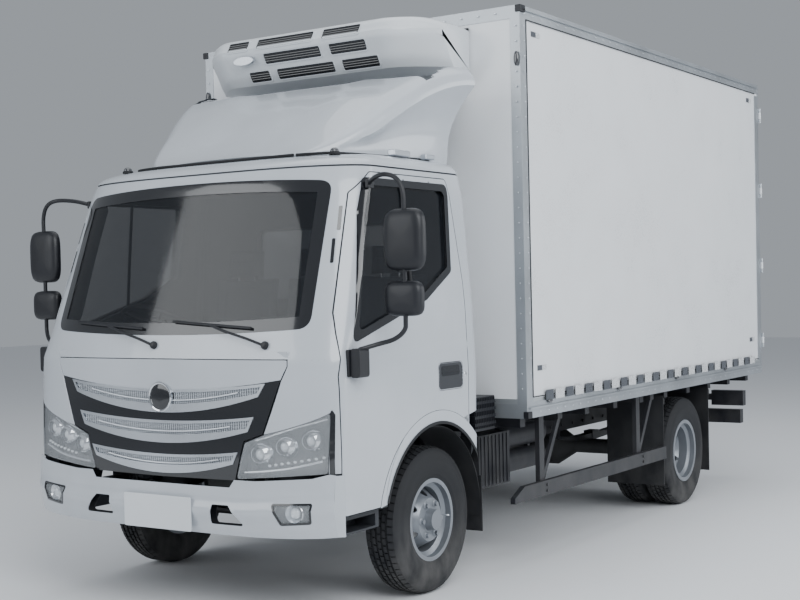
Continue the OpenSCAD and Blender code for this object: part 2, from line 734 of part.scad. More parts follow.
module cab_rear_wall() {
    color("#dfe4e8") one_mesh() difference() {
        intersection() {
            cab_shell(0, cab_wall);
            box_between([seat_gap + 80 - cab_half_width, cab_rear_y - cab_wall - 20, axle_z + arch_r + 40],
                [cab_half_width - 80 - seat_gap, cab_rear_y + 20, 2230 - panel_gap]);
        }
        translate([0, cab_rear_y + 100, 0]) rotate([90, 0, 0]) linear_extrude(300)
            rounded_rect(rear_window[0], rear_window[1], rear_window[2], rear_window[3], 50, $fn = 96);
    }
}

module cab_roof() {
    color("#dfe4e8") one_mesh() difference() {
        intersection() {
            cab_shell(0, cab_wall);
            union() {
                box_between([-1100, bumper_y, 2230], [1100, cab_rear_y + 10, cab_top_z + 50]);
                box_between([-782 + seat_gap, bumper_y, 2100], [782 - seat_gap, front_axle_y, 2231]);
            }
        }
        front_cut() screen_outline(2 * seat_gap);
    }
}

module cab_glass() {
    color("#3c4650", 0.6) {
        one_mesh() intersection() {
            cab_shell(4, 4 + glass);
            front_cut() screen_outline();
        }
        translate([0, cab_rear_y - 18 - seat_gap, 0]) rotate([90, 0, 0]) linear_extrude(glass)
            rounded_rect(rear_window[0] + seat_gap, rear_window[1] + seat_gap, rear_window[2] - seat_gap,
                rear_window[3] - seat_gap, 50);
    }
}

// Height of the deflector's top along the truck, and half widths of its foot and its top
function deflector_t(y) = unit((y - deflector_front_y) / (deflector_rear_y - deflector_front_y));
function deflector_ring(y, inset) =
    let (
        t = deflector_t(y),
        base_z = cab_top_z - 14 + (inset > 0 ? -40 : 0),
        top_z = max(base_z + 6, cab_top_z + 20 + 520 * pow(sin(90 * t), 1.25) - inset),
        foot = mix(480, 790, pow(t, 0.2)) - inset,
        shoulder = mix(450, 985, pow(t, 0.55)) - inset,
        r = min(110, 0.42 * (top_z - base_z)),
        half = concat([[foot, base_z], [mix(foot, shoulder, 0.25), mix(base_z, top_z, 0.45)]],
            [for (i = [0:6]) let (a = 15 * i)
                [shoulder - r + r * cos(a), top_z - r + r * sin(a) - 12]],
            [[shoulder * 0.5, top_z - 3]])
    )
    [for (p = concat(half, mirrored(half))) [p[0], y, p[1]]];

module deflector_solid(inset = 0, shift = 0) {
    n = 14;
    loft([for (i = [n:-1:0]) deflector_ring(mix(deflector_front_y + inset, deflector_rear_y + shift, i / n), inset)]);
}

module wind_deflector() {
    notch = 860;
    color("#e2e7ea") one_mesh() difference() {
        deflector_solid();
        deflector_solid(9, 5);
        box_between([-notch, box_front_y - 530, box_top_z - 522], [notch, cab_rear_y + 300, 3000]);
        cab_solid(-seat_gap);
    }
}

module headlamps() {
    color("#cfd6dc") for (side = [1, -1]) one_side(side) one_mesh() intersection() {
        cab_shell(0, 60);
        front_cut() lamp_outline(1);
        box_between([0, bumper_y, 0], [1100, bumper_y + 185, 1300]);
    }
}

// Plan outline of the bumper, moved inward by inset
function bumper_half(inset, n = 18) =
    let (w = cab_half_width + 5 - inset, d = 184)
    concat([for (i = [0:n]) let (
        x = w * pow(sin(90 * i / n), 0.62),
        u = pow(x / w, 3.2))
        [x, bumper_y + 6 + inset + d * (1 - sqrt(max(0, 1 - u)))]]);
module bumper_plan(inset) {
    polygon(concat(bumper_half(inset), mirrored(bumper_half(inset))));
}

module front_bumper() {
    low = 425;
    high = 705;
    color("#d6dce1") {
        difference() {
            union() {
                translate([0, 0, low]) linear_extrude(high - low) bumper_plan(0);
                box_between([-235, bumper_y, 432], [235, bumper_y + 40, 590]);
            }
            translate([0, 0, low - eps]) linear_extrude(high - low + 2 * eps) bumper_plan(30);
            translate([0, bumper_y + 300, 0]) rotate([90, 0, 0]) linear_extrude(400)
                polygon([[-455, 662], [455, 662], [480, high + eps], [-480, high + eps]]);
            for (side = [-1, 1]) {
                translate([side * 360, bumper_y + 300, 530]) rotate([90, 0, 0]) linear_extrude(400)
                    polygon([[-90, -42], [90, -42], [70, 42], [-70, 42]]);
                translate([side * 780, bumper_y + 200, 560]) rotate([90, 0, 0]) cylinder(300, r = 48);
                for (z = [-1, 1])
                    translate([side * plate_hole_pitch_x / 2, bumper_y + 100, 522 + z * plate_hole_pitch_z / 2])
                        rotate([90, 0, 0]) cylinder(200, r = plate_hole_r);
            }
        }
        // brackets up to the cab floor
        on_both_sides() {
            box_between([500, bumper_y + 25, 590], [540, bumper_y + 330, 640]);
            box_between([500, bumper_y + 270, 590], [540, bumper_y + 330, 715 - seat_gap]);
        }
    }
}

module seats() {
    base = 1000 + seat_gap;
    back_y = cab_rear_y - cab_wall - 40;
    color("#4a4f58") for (x = [-520, 20, 520]) translate([x, 0, 0]) {
        box_between([-225, back_y - 560, base], [225, back_y - 100, base + 150]);
        along_x(-225, 225) polygon([
            [back_y - 190, base + 155], [back_y - 90, base + 155], [back_y, base + 690], [back_y - 100, base + 690]]);
        box_between([-120, back_y - 95, base + 695], [120, back_y - 5, base + 860]);
        for (s = [-1, 1]) box_between([s * 70 - 6, back_y - 60, base + 689], [s * 70 + 6, back_y - 48, base + 700]);
        box_between([-200, back_y - 175, base + 100], [200, back_y - 100, base + 156]);
    }
}

module dashboard() {
    front = bumper_y + 197 + 20 + seat_gap;
    color("#2c3036") {
        intersection() {
            along_x(-870, 870) polygon([
                [front, 1000], [front + 180, 1060], [front + 330, 1240], [front + 330, 1370],
                [front + 260, 1400], [front, 1385]]);
            linear_extrude(1500) polygon([
                [-740, front], [740, front], [870, front + 180], [870, front + 330],
                [-870, front + 330], [-870, front + 180]]);
        }
        // steering column and its shaft
        translate(wheel_centre) rotate([wheel_tilt, 0, 0]) {
            translate([0, 0, -280]) cylinder(250, r = 34);
            translate([0, 0, -31]) cylinder(42, r = 12);
        }
    }
}

module steering_wheel() {
    color("#202226") translate(wheel_centre) rotate([wheel_tilt, 0, 0]) {
        rotate_extrude($fn = smooth) translate([205, 0]) circle(14, $fn = 20);
        difference() {
            translate([0, 0, -22]) cylinder(40, r = 62);
            translate([0, 0, -30]) cylinder(45, r = 12 + running);
        }
        for (a = [0, 135, 225]) rotate([0, 0, a + 90]) box_between([50, -18, -14], [200, 18, 2]);
    }
}

// Points on the windscreen, a clearance in front of the glass
function on_screen(x, z, off) = [x, skin_y(x, z) - off, z];

module wipers() {
    color("#121418") for (x = [-60, 640]) one_mesh($fn = 16) {
        pivot = on_screen(x, 1352, 3.3);
        translate(pivot) rotate([90, 0, 0]) cylinder(26, r = 10);
        rod_path([pivot - [0, 20, 0], on_screen(x - 160, 1400, 24), on_screen(x - 330, 1446, 20)], 6);
        rod_path([for (k = [0:5]) on_screen(x - 90 - 100 * k, 1434 + 7 * k, 12)], 7);
    }
}

// ---------------------------------------------------------------- front panel

module panel_skin(outer, inner) {
    intersection() {
        cab_shell(outer, inner);
        front_cut() panel_outline();
    }
}

module front_panel() {
    color("#dfe4e8") one_mesh() difference() {
        panel_skin(0, 30);
        front_cut() translate([-900, 500]) square([1800, 1186 - 500]);
    }
}

module grille() {
    color("#17191d") one_mesh() difference() {
        union() {
            panel_skin(0, 30);
            translate([0, nose_y(1091) + 20, 1091]) rotate([90, 0, 0]) cylinder(40, r = 76);
        }
        front_cut() translate([-900, 1186 - seat_gap]) square([1800, 200]);
        for (c = CRESCENTS) difference() {
            front_cut() offset(delta = seat_gap) polygon(c);
            translate([0, nose_y(1091) + 60, 1091]) rotate([90, 0, 0]) cylinder(100, r = 76);
        }
    }
}

module grille_bars() {
    color("#b9c0c6") one_mesh() difference() {
        intersection() {
            cab_shell(-6, 20);
            front_cut() for (c = CRESCENTS) polygon(c);
        }
        translate([0, nose_y(1091) + 60, 1091]) rotate([90, 0, 0]) cylinder(200, r = 76 + seat_gap, center = true);
    }
}

// ---------------------------------------------------------------- doors

module cab_door(side) {
    one_side(side) one_mesh() difference() {
        intersection() {
            cab_shell(0, door_thickness);
            side_cut(1) door_outline();
        }
        side_cut(1) window_outline();
    }
}
module door_left() { color("#dfe4e8") cab_door(1); }
module door_right() { color("#dfe4e8") cab_door(-1); }

module door_glass(side) {
    one_side(side) one_mesh() intersection() {
        cab_shell(14, 14 + glass);
        side_cut(1) window_outline(-seat_gap);
    }
}
module door_glass_left() { color("#3c4650", 0.6) door_glass(1); }
module door_glass_right() { color("#3c4650", 0.6) door_glass(-1); }

// Straight round bar between two points
module bar(a, b, r) {
    v = b - a;
    translate(a) rotate([0, acos(v[2] / norm(v)), atan2(v[1], v[0])]) cylinder(norm(v), r = r);
}

module rod_path(points, r) {
    for (i = [0:len(points) - 2]) bar(points[i], points[i + 1], r);
    for (p = points) translate(p) sphere(1.08 * r);
}

module mirrors(side) {
    y = bumper_y + 437;
    one_side(side) {
        rod_path([
            [952, y + 120, 2130], [1100, y + 20, 2160], [1205, y, 2130], [1228, y, 2070],
            [1228, y, 1440], [1215, y, 1400], [1120, y - 60, 1345], [cab_half_width + 40, y - 145, 1325]], 11, $fn = 16);
        box_between([1115, y - 35, 1690], [1340, y + 25, 1990]);
        box_between([1115, y - 35, 1475], [1325, y + 25, 1645]);
        box_between([cab_half_width + seat_gap, y - 190, 1180], [cab_half_width + 66, y - 100, 1335]);
    }
}
module mirrors_left() { color("#121418") mirrors(1); }
module mirrors_right() { color("#121418") mirrors(-1); }

// ---------------------------------------------------------------- rear doors

// Outer faces of the two rear doors lie level with the end of the box
module rear_door(side) {
    bar_y = box_rear_y - lock_bar_r + 3;
    recess = 2 * lock_bar_r + 4;
    one_side(side) {
        difference() {
            box_between([leaf_gap / 2, leaf_front_y, leaf_low_z], [leaf_outer_x, box_rear_y, leaf_high_z]);
            for (x = lock_bar_places)
                box_between([x - 20, box_rear_y - recess, leaf_low_z - eps], [x + 20, box_rear_y + eps, leaf_high_z + eps]);
        }
        for (x = lock_bar_places) {
            translate([x, bar_y, leaf_low_z]) cylinder(leaf_high_z - leaf_low_z, r = lock_bar_r);
            for (z = [leaf_low_z + 60, leaf_low_z + 700, leaf_high_z - 760, leaf_high_z - 100])
                box_between([x - 21, box_rear_y - recess - eps, z], [x + 21, box_rear_y + 4, z + 40]);
            box_between([x - 14, box_rear_y - 8, leaf_low_z + 420], [x + 14, box_rear_y + 6, leaf_low_z + 760]);
        }
        for (z = hinge_heights) difference() {
            union() {
                translate([hinge_x, hinge_y, z - 25]) cylinder(50, r = rear_barrel_r);
                box_between([leaf_outer_x - 200, box_rear_y - eps, z - 25], [leaf_outer_x, box_rear_y + 5, z + 25]);
                box_between([leaf_outer_x - eps, box_rear_y + 5, z - 25], [hinge_x, box_rear_y + 12, z + 25]);
                box_between([leaf_outer_x - 60, box_rear_y, z - 25], [leaf_outer_x, box_rear_y + 12, z + 25]);
            }
            translate([hinge_x, hinge_y, z - 60]) cylinder(120, r = rear_pin_r);
        }
        for (z = hinge_heights) translate([hinge_x, hinge_y, z - 58]) cylinder(116, r = rear_pin_r);
    }
}
module rear_door_left() { color("#e6ebee") rear_door(1); }
module rear_door_right() { color("#e6ebee") rear_door(-1); }

// ---------------------------------------------------------------- steering and wheels

// Fork round the end of the beam, with its kingpin, spindle and steering arm
module knuckle(side) {
    ear = 30;
    gap = 2.5;
    inner = fist_r + 5;
    low = axle_z - fist_half - gap - ear;
    one_side(side) translate([kingpin_x, front_axle_y, 0]) {
        for (z = [low, axle_z + fist_half + gap]) {
            translate([0, 0, z]) cylinder(ear, r = 34);
            box_between([0, -34, z], [inner + 10, 34, z + ear]);
        }
        translate([0, 0, low + 2]) cylinder(2 * (fist_half + gap + ear) - 4, r = kingpin_r);
        box_between([inner, -45, low], [inner + 40, 45, axle_z + fist_half + gap + ear]);
        translate([inner + 39, 0, axle_z]) rotate([0, 90, 0]) cylinder(spindle_end_x - knuckle_out_x + eps, r = spindle_r);
        box_between([-16, 20, low], [16, steering_arm, low + 22]);
        translate([0, steering_arm, low]) cylinder(22, r = 20);
        translate([0, steering_arm, low - 34]) cylinder(35, r = 10);
    }
}
module knuckle_left() { color("#25282d") knuckle(1); }
module knuckle_right() { color("#25282d") knuckle(-1); }

module tie_rod() {
    low = axle_z - fist_half - 2.5 - 30;
    z = low - 18;
    color("#25282d") translate([0, front_axle_y + steering_arm, z]) difference() {
        union() {
            translate([-kingpin_x, 0, 0]) rotate([0, 90, 0]) cylinder(2 * kingpin_x, r = 12);
            on_both_sides() translate([kingpin_x, 0, -14]) cylinder(28, r = 24);
        }
        translate([kingpin_x, 0, -20]) cylinder(40, r = 10 + running);
        translate([-kingpin_x, 0, -20]) cylinder(40, r = 12);
    }
}

// Tyre round the X axis, centred on x = 0
module tyre() {
    w = tyre_width / 2;
    lip = rim_r + 1;
    rotate([0, 90, 0]) rotate_extrude($fn = 96) polygon([
        [lip, -w + 28], [lip + 30, -w + 14], [mix(rim_r, tyre_r, 0.45), -w], [tyre_r - 45, -w + 6],
        [tyre_r - 12, -w + 24], [tyre_r, -w + 40], [tyre_r, w - 40], [tyre_r - 12, w - 24],
        [tyre_r - 45, w - 6], [mix(rim_r, tyre_r, 0.45), w], [lip + 30, w - 14], [lip, w - 28],
        [lip, w - 48], [lip + 34, w - 40], [tyre_r - 30, w - 40], [tyre_r - 22, 0],
        [tyre_r - 30, -w + 40], [lip + 34, -w + 40], [lip, -w + 48]]);
}

// Rim barrel round the X axis with its disc: the hub face lies at face_x from the rim's middle
module rim(face_x, hub_r, bore_r, bulge) {
    w = tyre_width / 2 - 15;
    t = rim_wall;
    rotate([0, 90, 0]) {
        rotate_extrude($fn = 96) polygon([
            [rim_flange_r, -w - 4], [rim_flange_r, -w + 2], [rim_r, -w + 3], [rim_r, -w + 32],
            [rim_r - 24, -w + 46], [rim_r - 24, w - 46], [rim_r, w - 32], [rim_r, w - 3],
            [rim_flange_r, w - 2], [rim_flange_r, w + 4], [rim_r - t, w + 3], [rim_r - t, w - 30],
            [rim_r - 24 - t, w - 44], [rim_r - 24 - t, -w + 44], [rim_r - t, -w + 30], [rim_r - t, -w - 3]]);
        difference() {
            rotate_extrude($fn = 96) polygon([
                [bore_r, face_x - t], [hub_r + 18, face_x - t], [rim_r - 24 - t + eps, face_x - bulge - t],
                [rim_r - 24 - t + eps, face_x - bulge], [hub_r + 18, face_x], [bore_r, face_x]]);
            for (i = [0:wheel_studs - 1]) rotate([0, 0, 360 * i / wheel_studs])
                translate([mix(hub_r + 18, rim_r - 30, 0.5), 0, face_x - bulge - 20]) cylinder(bulge + 60, r = 22);
        }
    }
}

module front_wheel_rim(side) {
    hub_out = front_tyre_outer_x + 18;
    one_side(side) translate([0, front_axle_y, axle_z]) {
        translate([front_wheel_x, 0, 0]) rim(74, 96, 50, 92);
        rotate([0, 90, 0]) difference() {
            union() {
                translate([0, 0, knuckle_out_x + 6]) cylinder(front_wheel_x + 70 - knuckle_out_x - 6, r = 75);
                translate([0, 0, front_wheel_x + 60]) cylinder(hub_out - front_wheel_x - 60, r1 = 62, r2 = 52);
                for (i = [0:wheel_studs - 1]) rotate([0, 0, 360 * (i + 0.5) / wheel_studs])
                    translate([90, 0, front_wheel_x + 66]) cylinder(28, r = 13, $fn = 6);
            }
            translate([0, 0, knuckle_out_x]) cylinder(spindle_end_x - knuckle_out_x + 4, r = spindle_r + running);
        }
    }
}
module rim_front_left() { color("#9fa6ad") front_wheel_rim(1); }
module rim_front_right() { color("#9fa6ad") front_wheel_rim(-1); }

module tyre_front_left() { color("#17181b") translate([front_wheel_x, front_axle_y, axle_z]) tyre(); }
module tyre_front_right() { color("#17181b") translate([-front_wheel_x, front_axle_y, axle_z]) tyre(); }

module rear_tyres(side) {
    one_side(side) for (x = [rear_inner_x, rear_outer_x]) translate([x, rear_axle_y, axle_z]) tyre();
}
module tyres_rear_left() { color("#17181b") rear_tyres(1); }
module tyres_rear_right() { color("#17181b") rear_tyres(-1); }

module rear_rims(side) {
    middle = (rear_outer_x + rear_inner_x) / 2;
    one_side(side) translate([0, rear_axle_y, axle_z]) {
        translate([rear_outer_x, 0, 0]) mirror([1, 0, 0]) rim(rear_outer_x - middle, 110, 60, rear_outer_x - middle - 28);
        translate([rear_inner_x, 0, 0]) rim(middle - rear_inner_x, 110, 60, middle - rear_inner_x - 28);
        rotate([0, 90, 0]) difference() {
            union() {
                translate([0, 0, drum_x + 6]) cylinder(middle + 26 - drum_x - 6, r = 80);
                translate([0, 0, middle]) cylinder(100, r1 = 70, r2 = 58);
                for (i = [0:wheel_studs - 1]) rotate([0, 0, 360 * (i + 0.5) / wheel_studs])
                    translate([96, 0, middle - 8]) cylinder(40, r = 13, $fn = 6);
            }
            translate([0, 0, drum_x]) cylinder(rear_outer_x - 60 - drum_x + 12, r = rear_spindle_r + running);
        }
    }
}
module rims_rear_left() { color("#9fa6ad") rear_rims(1); }
module rims_rear_right() { color("#9fa6ad") rear_rims(-1); }

chassis_frame();
box_bearers();
front_axle();
rear_axle();
leaf_springs();
engine_block();
drive_shaft();
exhaust();
fuel_tank();
battery_box();
side_guards();
underrun_bar();
mudguards();
air_intake();
box_floor();
box_roof();
box_front_wall();
box_wall_left();
box_wall_right();
box_frame();
cooling_unit();
cab_floor();
cab_front();
cab_side_left();
cab_side_right();
cab_rear_wall();
cab_roof();
cab_glass();
wind_deflector();
headlamps();
front_bumper();
seats();
dashboard();
wipers();
front_panel();
grille();
grille_bars();
door_left();
door_right();
door_glass_left();
door_glass_right();
mirrors_left();
mirrors_right();
steering_wheel();
rear_door_left();
rear_door_right();
knuckle_left();
knuckle_right();
tie_rod();
tyre_front_left();
tyre_front_right();
rim_front_left();
rim_front_right();
tyres_rear_left();
tyres_rear_right();
rims_rear_left();
rims_rear_right();
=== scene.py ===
"""Visual pieces of a refrigerated delivery truck, built round its fixed frame."""
import logging
import math
from dataclasses import dataclass
from enum import Enum
from typing import Callable, Sequence

import bmesh
import bpy
from mathutils import Matrix, Vector
from mathutils.geometry import delaunay_2d_cdt


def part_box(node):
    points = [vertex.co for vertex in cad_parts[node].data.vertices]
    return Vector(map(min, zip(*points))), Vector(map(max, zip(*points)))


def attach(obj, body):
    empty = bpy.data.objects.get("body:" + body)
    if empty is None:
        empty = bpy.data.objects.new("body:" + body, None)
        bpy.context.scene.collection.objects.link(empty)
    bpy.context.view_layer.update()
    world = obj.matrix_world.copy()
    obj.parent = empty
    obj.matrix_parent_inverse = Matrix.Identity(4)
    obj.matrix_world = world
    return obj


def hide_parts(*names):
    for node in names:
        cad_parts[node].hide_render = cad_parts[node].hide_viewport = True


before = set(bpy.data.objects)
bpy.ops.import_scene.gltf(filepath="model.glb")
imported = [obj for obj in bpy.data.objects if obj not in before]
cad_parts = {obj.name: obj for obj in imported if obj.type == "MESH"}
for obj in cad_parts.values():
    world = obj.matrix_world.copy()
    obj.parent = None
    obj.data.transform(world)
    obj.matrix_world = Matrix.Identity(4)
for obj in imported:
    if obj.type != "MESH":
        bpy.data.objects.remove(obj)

LOG = logging.getLogger("truck")
Point2 = tuple[float, float]
Colour = tuple[float, float, float]
Face = tuple[int, ...]
Surface = Callable[[float, float, float], Vector]


# ---------------------------------------------------------------- shaders
class Wire:
    """A shader socket or a number that takes part in arithmetic."""

    def __init__(self, shader: "Shader", value: object) -> None:
        """Keep the material that new nodes go to, and the socket."""
        self.shader, self.value = shader, value

    def _math(self, kind: str, *others: object) -> "Wire":
        """Add one Math node and return its result."""
        return self.shader.node("ShaderNodeMath", {"operation": kind}, self, *others)

    def __add__(self, other: object) -> "Wire":
        """Sum."""
        return self._math("ADD", other)

    __radd__ = __add__

    def __mul__(self, other: object) -> "Wire":
        """Product."""
        return self._math("MULTIPLY", other)

    __rmul__ = __mul__

    def __sub__(self, other: object) -> "Wire":
        """Difference."""
        return self._math("SUBTRACT", other)

    def __rsub__(self, other: object) -> "Wire":
        """Difference with the number first."""
        return (self * -1.0) + other

    def clamp(self, low: float, high: float) -> "Wire":
        """Ramp from 0 at low to 1 at high."""
        return self.shader.node("ShaderNodeMapRange", {}, self, low, high, 0.0, 1.0)

    def func(self, kind: str, *others: object) -> "Wire":
        """Any other Math operation by its name."""
        return self._math(kind, *others)


class Shader:
    """Builds one material, node by node."""

    def __init__(self, name: str) -> None:
        """Start with the standard surface shader."""
        self.material = bpy.data.materials.new(name)
        self.material.use_nodes = True
        self.tree = self.material.node_tree
        self.surface = next(n for n in self.tree.nodes if n.type == "BSDF_PRINCIPLED")
        self.place = self.node("ShaderNodeTexCoord", {}, out="Object")

    def node(self, kind: str, settings: dict[str, object], *inputs: object, out: str | int = 0,
             named: dict[str, object] | None = None) -> Wire:
        """Add a node.

        Args:
            kind: Node type.
            settings: Attributes set before the sockets.
            inputs: Values or links of the first sockets, in order; None leaves one alone.
            out: Output to return.
            named: Values or links by socket name.

        Returns:
            The output socket, ready for arithmetic.
        """
        made = self.tree.nodes.new(kind)
        for key, value in settings.items():
            setattr(made, key, value)
        pairs = list(zip(made.inputs, inputs)) + [(made.inputs[k], v) for k, v in (named or {}).items()]
        for socket, value in pairs:
            if isinstance(value, Wire):
                self.tree.links.new(value.value, socket)
            elif value is not None:
                socket.default_value = value
        return Wire(self, made.outputs[out])

    def noise(self, scale: float, detail: float = 3.0, stretch: Sequence[float] = (1, 1, 1),
              out: str = "Fac") -> Wire:
        """Noise on the piece's own coordinates, about -0.5 to 0.5 round 0.5."""
        spot = self.node("ShaderNodeMapping", {}, self.place, named={"Scale": tuple(stretch)})
        return self.node("ShaderNodeTexNoise", {}, spot, named={"Scale": scale, "Detail": detail}, out=out)

    def axis(self, which: int) -> Wire:
        """One coordinate, 0 for x, 1 for y and 2 for z."""
        return self.node("ShaderNodeSeparateXYZ", {}, self.place, out=which)

    def mix(self, share: object, first: object, second: object) -> Wire:
        """Blend of two colours."""
        made = self.tree.nodes.new("ShaderNodeMix")
        made.data_type = "RGBA"
        for socket, value in ((made.inputs[0], share), (made.inputs[6], first), (made.inputs[7], second)):
            if isinstance(value, Wire):
                self.tree.links.new(value.value, socket)
            else:
                socket.default_value = (*value, 1.0) if isinstance(value, tuple) else value
        return Wire(self, made.outputs[2])

    def bump(self, height: Wire, depth: float, strength: float = 1.0) -> None:
        """Drive the surface normal from a height in shares of depth."""
        normal = self.node("ShaderNodeBump", {},
                           named={"Height": height, "Distance": depth, "Strength": strength},
                           out="Normal")
        self.put("Normal", normal)

    def put(self, socket: str, value: object) -> None:
        """Set or link a socket of the surface shader."""
        target = self.surface.inputs[socket]
        if isinstance(value, Wire):
            self.tree.links.new(value.value, target)
        else:
            target.default_value = (*value, 1.0) if isinstance(value, tuple) else value


class Pattern(Enum):
    """Relief that a finish may carry."""

    NONE = 0
    WEAVE = 1
    PERFORATED = 2
    BRUSHED = 3
    LEATHER = 4
    RIBBED = 5
    MESH = 6


@dataclass(frozen=True)
class Finish:
    """One surface finish: colour, gloss, grain and dirt."""

    name: str
    slot: str
    colour: Colour
    rough: float = 0.4
    metal: float = 0.0
    coat: float = 0.0
    vary: float = 0.06
    grain: float = 300.0
    depth: float = 0.0002
    dirt: float = 0.0
    dirt_top: float = 1.0
    pattern: Pattern = Pattern.NONE
    pitch: float = 0.004
    alpha: float = 1.0
    glow: float = 0.0
    clear: float = 0.0

    def material(self) -> bpy.types.Material:
        """Build the material once and return it."""
        name = f"{self.name}_finish"
        known = bpy.data.materials.get(name)
        if known:
            return known
        sh = Shader(name)
        dark = tuple(c * (1 - self.vary * 2) for c in self.colour)
        light = tuple(min(1.0, c * (1 + self.vary)) for c in self.colour)
        cloud = sh.noise(2.3, 5.0)
        tone = sh.mix(cloud.clamp(0.3, 0.7), dark, light)
        fine = sh.noise(self.grain, 2.0)
        rough = fine * 0.12 + (self.rough - 0.06) + (cloud - 0.5) * 0.12
        if self.dirt:
            low = 1.0 - sh.axis(2).clamp(0.15, self.dirt_top)
            splash = sh.noise(9.0, 6.0, (1, 1, 0.6)).clamp(0.35, 0.75)
            share = (low * splash * self.dirt).func("MINIMUM", 1.0)
            tone = sh.mix(share, tone, (0.16, 0.155, 0.15))
            rough = rough + share * 0.35
        height = self._relief(sh, fine)
        if self.pattern in (Pattern.PERFORATED, Pattern.MESH):
            holes = height.clamp(0.30, 0.45)
            tone = sh.mix(holes, (0.012, 0.013, 0.015), tone)
            sh.put("Metallic", holes * self.metal)
        else:
            sh.put("Metallic", self.metal)
        sh.put("Base Color", tone)
        sh.put("Roughness", rough.func("MAXIMUM", 0.02))
        sh.bump(height, self.depth)
        sh.put("Coat Weight", self.coat)
        sh.put("Coat Roughness", 0.04)
        if self.clear:
            sh.put("Transmission Weight", self.clear)
            sh.put("IOR", 1.2)
        if self.alpha < 1:
            sh.put("Alpha", (cloud - 0.5) * 0.05 + self.alpha)
        if self.glow:
            sh.put("Emission Color", self.colour)
            sh.put("Emission Strength", self.glow)
        return sh.material

    def _relief(self, sh: Shader, fine: Wire) -> Wire:
        """Height of the finish's own pattern, with the fine grain on it."""
        if self.pattern is Pattern.NONE:
            return fine
        turn = math.tau / self.pitch
        x, y, z = (sh.axis(i) for i in range(3))
        wave = {Pattern.WEAVE: lambda: (((x + y) * turn).func("SINE") * ((z + y) * turn).func("SINE")
                                        * 0.5 + 0.5),
                Pattern.RIBBED: lambda: (y * turn).func("SINE") * 0.5 + 0.5,
                Pattern.BRUSHED: lambda: sh.noise(180.0, 2.0, (1, 0.03, 1)),
                Pattern.LEATHER: lambda: sh.node("ShaderNodeTexVoronoi", {}, sh.place,
                    named={"Scale": 1 / self.pitch})}
        if self.pattern in wave:
            return wave[self.pattern]() * 0.8 + fine * 0.3
        rows = (x * (turn / 2)).func("SINE") * (z * turn).func("SINE")
        return rows.func("ABSOLUTE") if self.pattern is Pattern.MESH else 1.0 - rows.func("ABSOLUTE")


# Finishes of this truck
PAINT = Finish("paint_white", "white_paint", (0.50, 0.53, 0.57), 0.24, coat=0.6, vary=0.025, grain=900,
               depth=0.00002, dirt=0.12)
PANEL = Finish("panel_white", "box_panel", (0.80, 0.82, 0.845), 0.30, coat=0.3, vary=0.02, grain=140,
               depth=0.00007, dirt=0.2, dirt_top=1.2)
FOIL = Finish("box_panel", "box_panel", (0.66, 0.69, 0.72), 0.34, coat=0.2, vary=0.03, grain=500,
              depth=0.00004)
EDGE = Finish("edge_aluminium", "edge_metal", (0.50, 0.53, 0.56), 0.42, 0.85, vary=0.1, grain=500,
              depth=0.00008, pattern=Pattern.BRUSHED, dirt=0.2)
FLOORING = Finish("floor_aluminium", "box_floor", (0.55, 0.58, 0.6), 0.4, 0.8, vary=0.12, grain=400)
FRAME = Finish("chassis_black", "chassis_paint", (0.009, 0.010, 0.015), 0.5, coat=0.1, vary=0.2, grain=420,
               depth=0.0002, dirt=0.35)
CAST = Finish("cast_iron", "engine_metal", (0.09, 0.092, 0.095), 0.62, 0.4, vary=0.2, grain=260,
              depth=0.0006, dirt=0.3)
PIPE = Finish("exhaust_steel", "exhaust_steel", (0.2, 0.2, 0.2), 0.55, 0.7, vary=0.3, grain=200,
              depth=0.0002, dirt=0.3)
TANK = Finish("tank_grey", "tank_metal", (0.03, 0.033, 0.04), 0.45, 0.2, vary=0.15, grain=300, dirt=0.4)
RUBBER = Finish("black_rubber", "black_rubber", (0.008, 0.009, 0.012), 0.68, vary=0.2, grain=380,
                depth=0.0003, dirt=0.25)
PLASTIC = Finish("black_plastic", "black_plastic", (0.008, 0.009, 0.013), 0.42, vary=0.15, grain=900,
                 depth=0.0001, pattern=Pattern.LEATHER, pitch=0.0016)
GLOSS = Finish("gloss_black", "black_plastic", (0.010, 0.011, 0.014), 0.12, coat=0.8, vary=0.05, grain=900,
               depth=0.00001)
TRIM = Finish("cab_lining", "black_plastic", (0.030, 0.033, 0.040), 0.6, vary=0.1, grain=700, depth=0.0002,
              pattern=Pattern.LEATHER, pitch=0.003)
FABRIC = Finish("seat_weave", "seat_fabric", (0.06, 0.065, 0.08), 0.9, vary=0.12, grain=900, depth=0.0007,
                pattern=Pattern.WEAVE, pitch=0.005)
GLASS = Finish("window_glass", "window_glass", (0.010, 0.012, 0.016), 0.04, vary=0.05, grain=50,
               depth=0.00001, alpha=0.42, coat=0.6)
LENS = Finish("lamp_glass", "lamp_glass", (0.78, 0.82, 0.86), 0.05, vary=0.02, grain=60, depth=0.00001,
              alpha=0.16, coat=1.0)
CHROME = Finish("bright_chrome", "bright_trim", (0.78, 0.80, 0.83), 0.10, 1.0, vary=0.04, grain=120,
                depth=0.00002)
SATIN = Finish("satin_silver", "bright_trim", (0.60, 0.63, 0.67), 0.30, 0.9, vary=0.05, grain=600,
               depth=0.00003)
MESH = Finish("silver_mesh", "bright_trim", (0.52, 0.55, 0.59), 0.34, 0.85, vary=0.05, depth=0.002,
              pattern=Pattern.PERFORATED, pitch=0.014)
TYRE = Finish("tyre_rubber", "tyre_rubber", (0.008, 0.009, 0.012), 0.74, vary=0.25, grain=260, depth=0.0004,
              dirt=0.5, dirt_top=0.5)
WHEEL = Finish("wheel_silver", "rim_steel", (0.27, 0.29, 0.32), 0.36, 0.55, vary=0.08, grain=420,
               depth=0.00008, dirt=0.35, dirt_top=0.7)
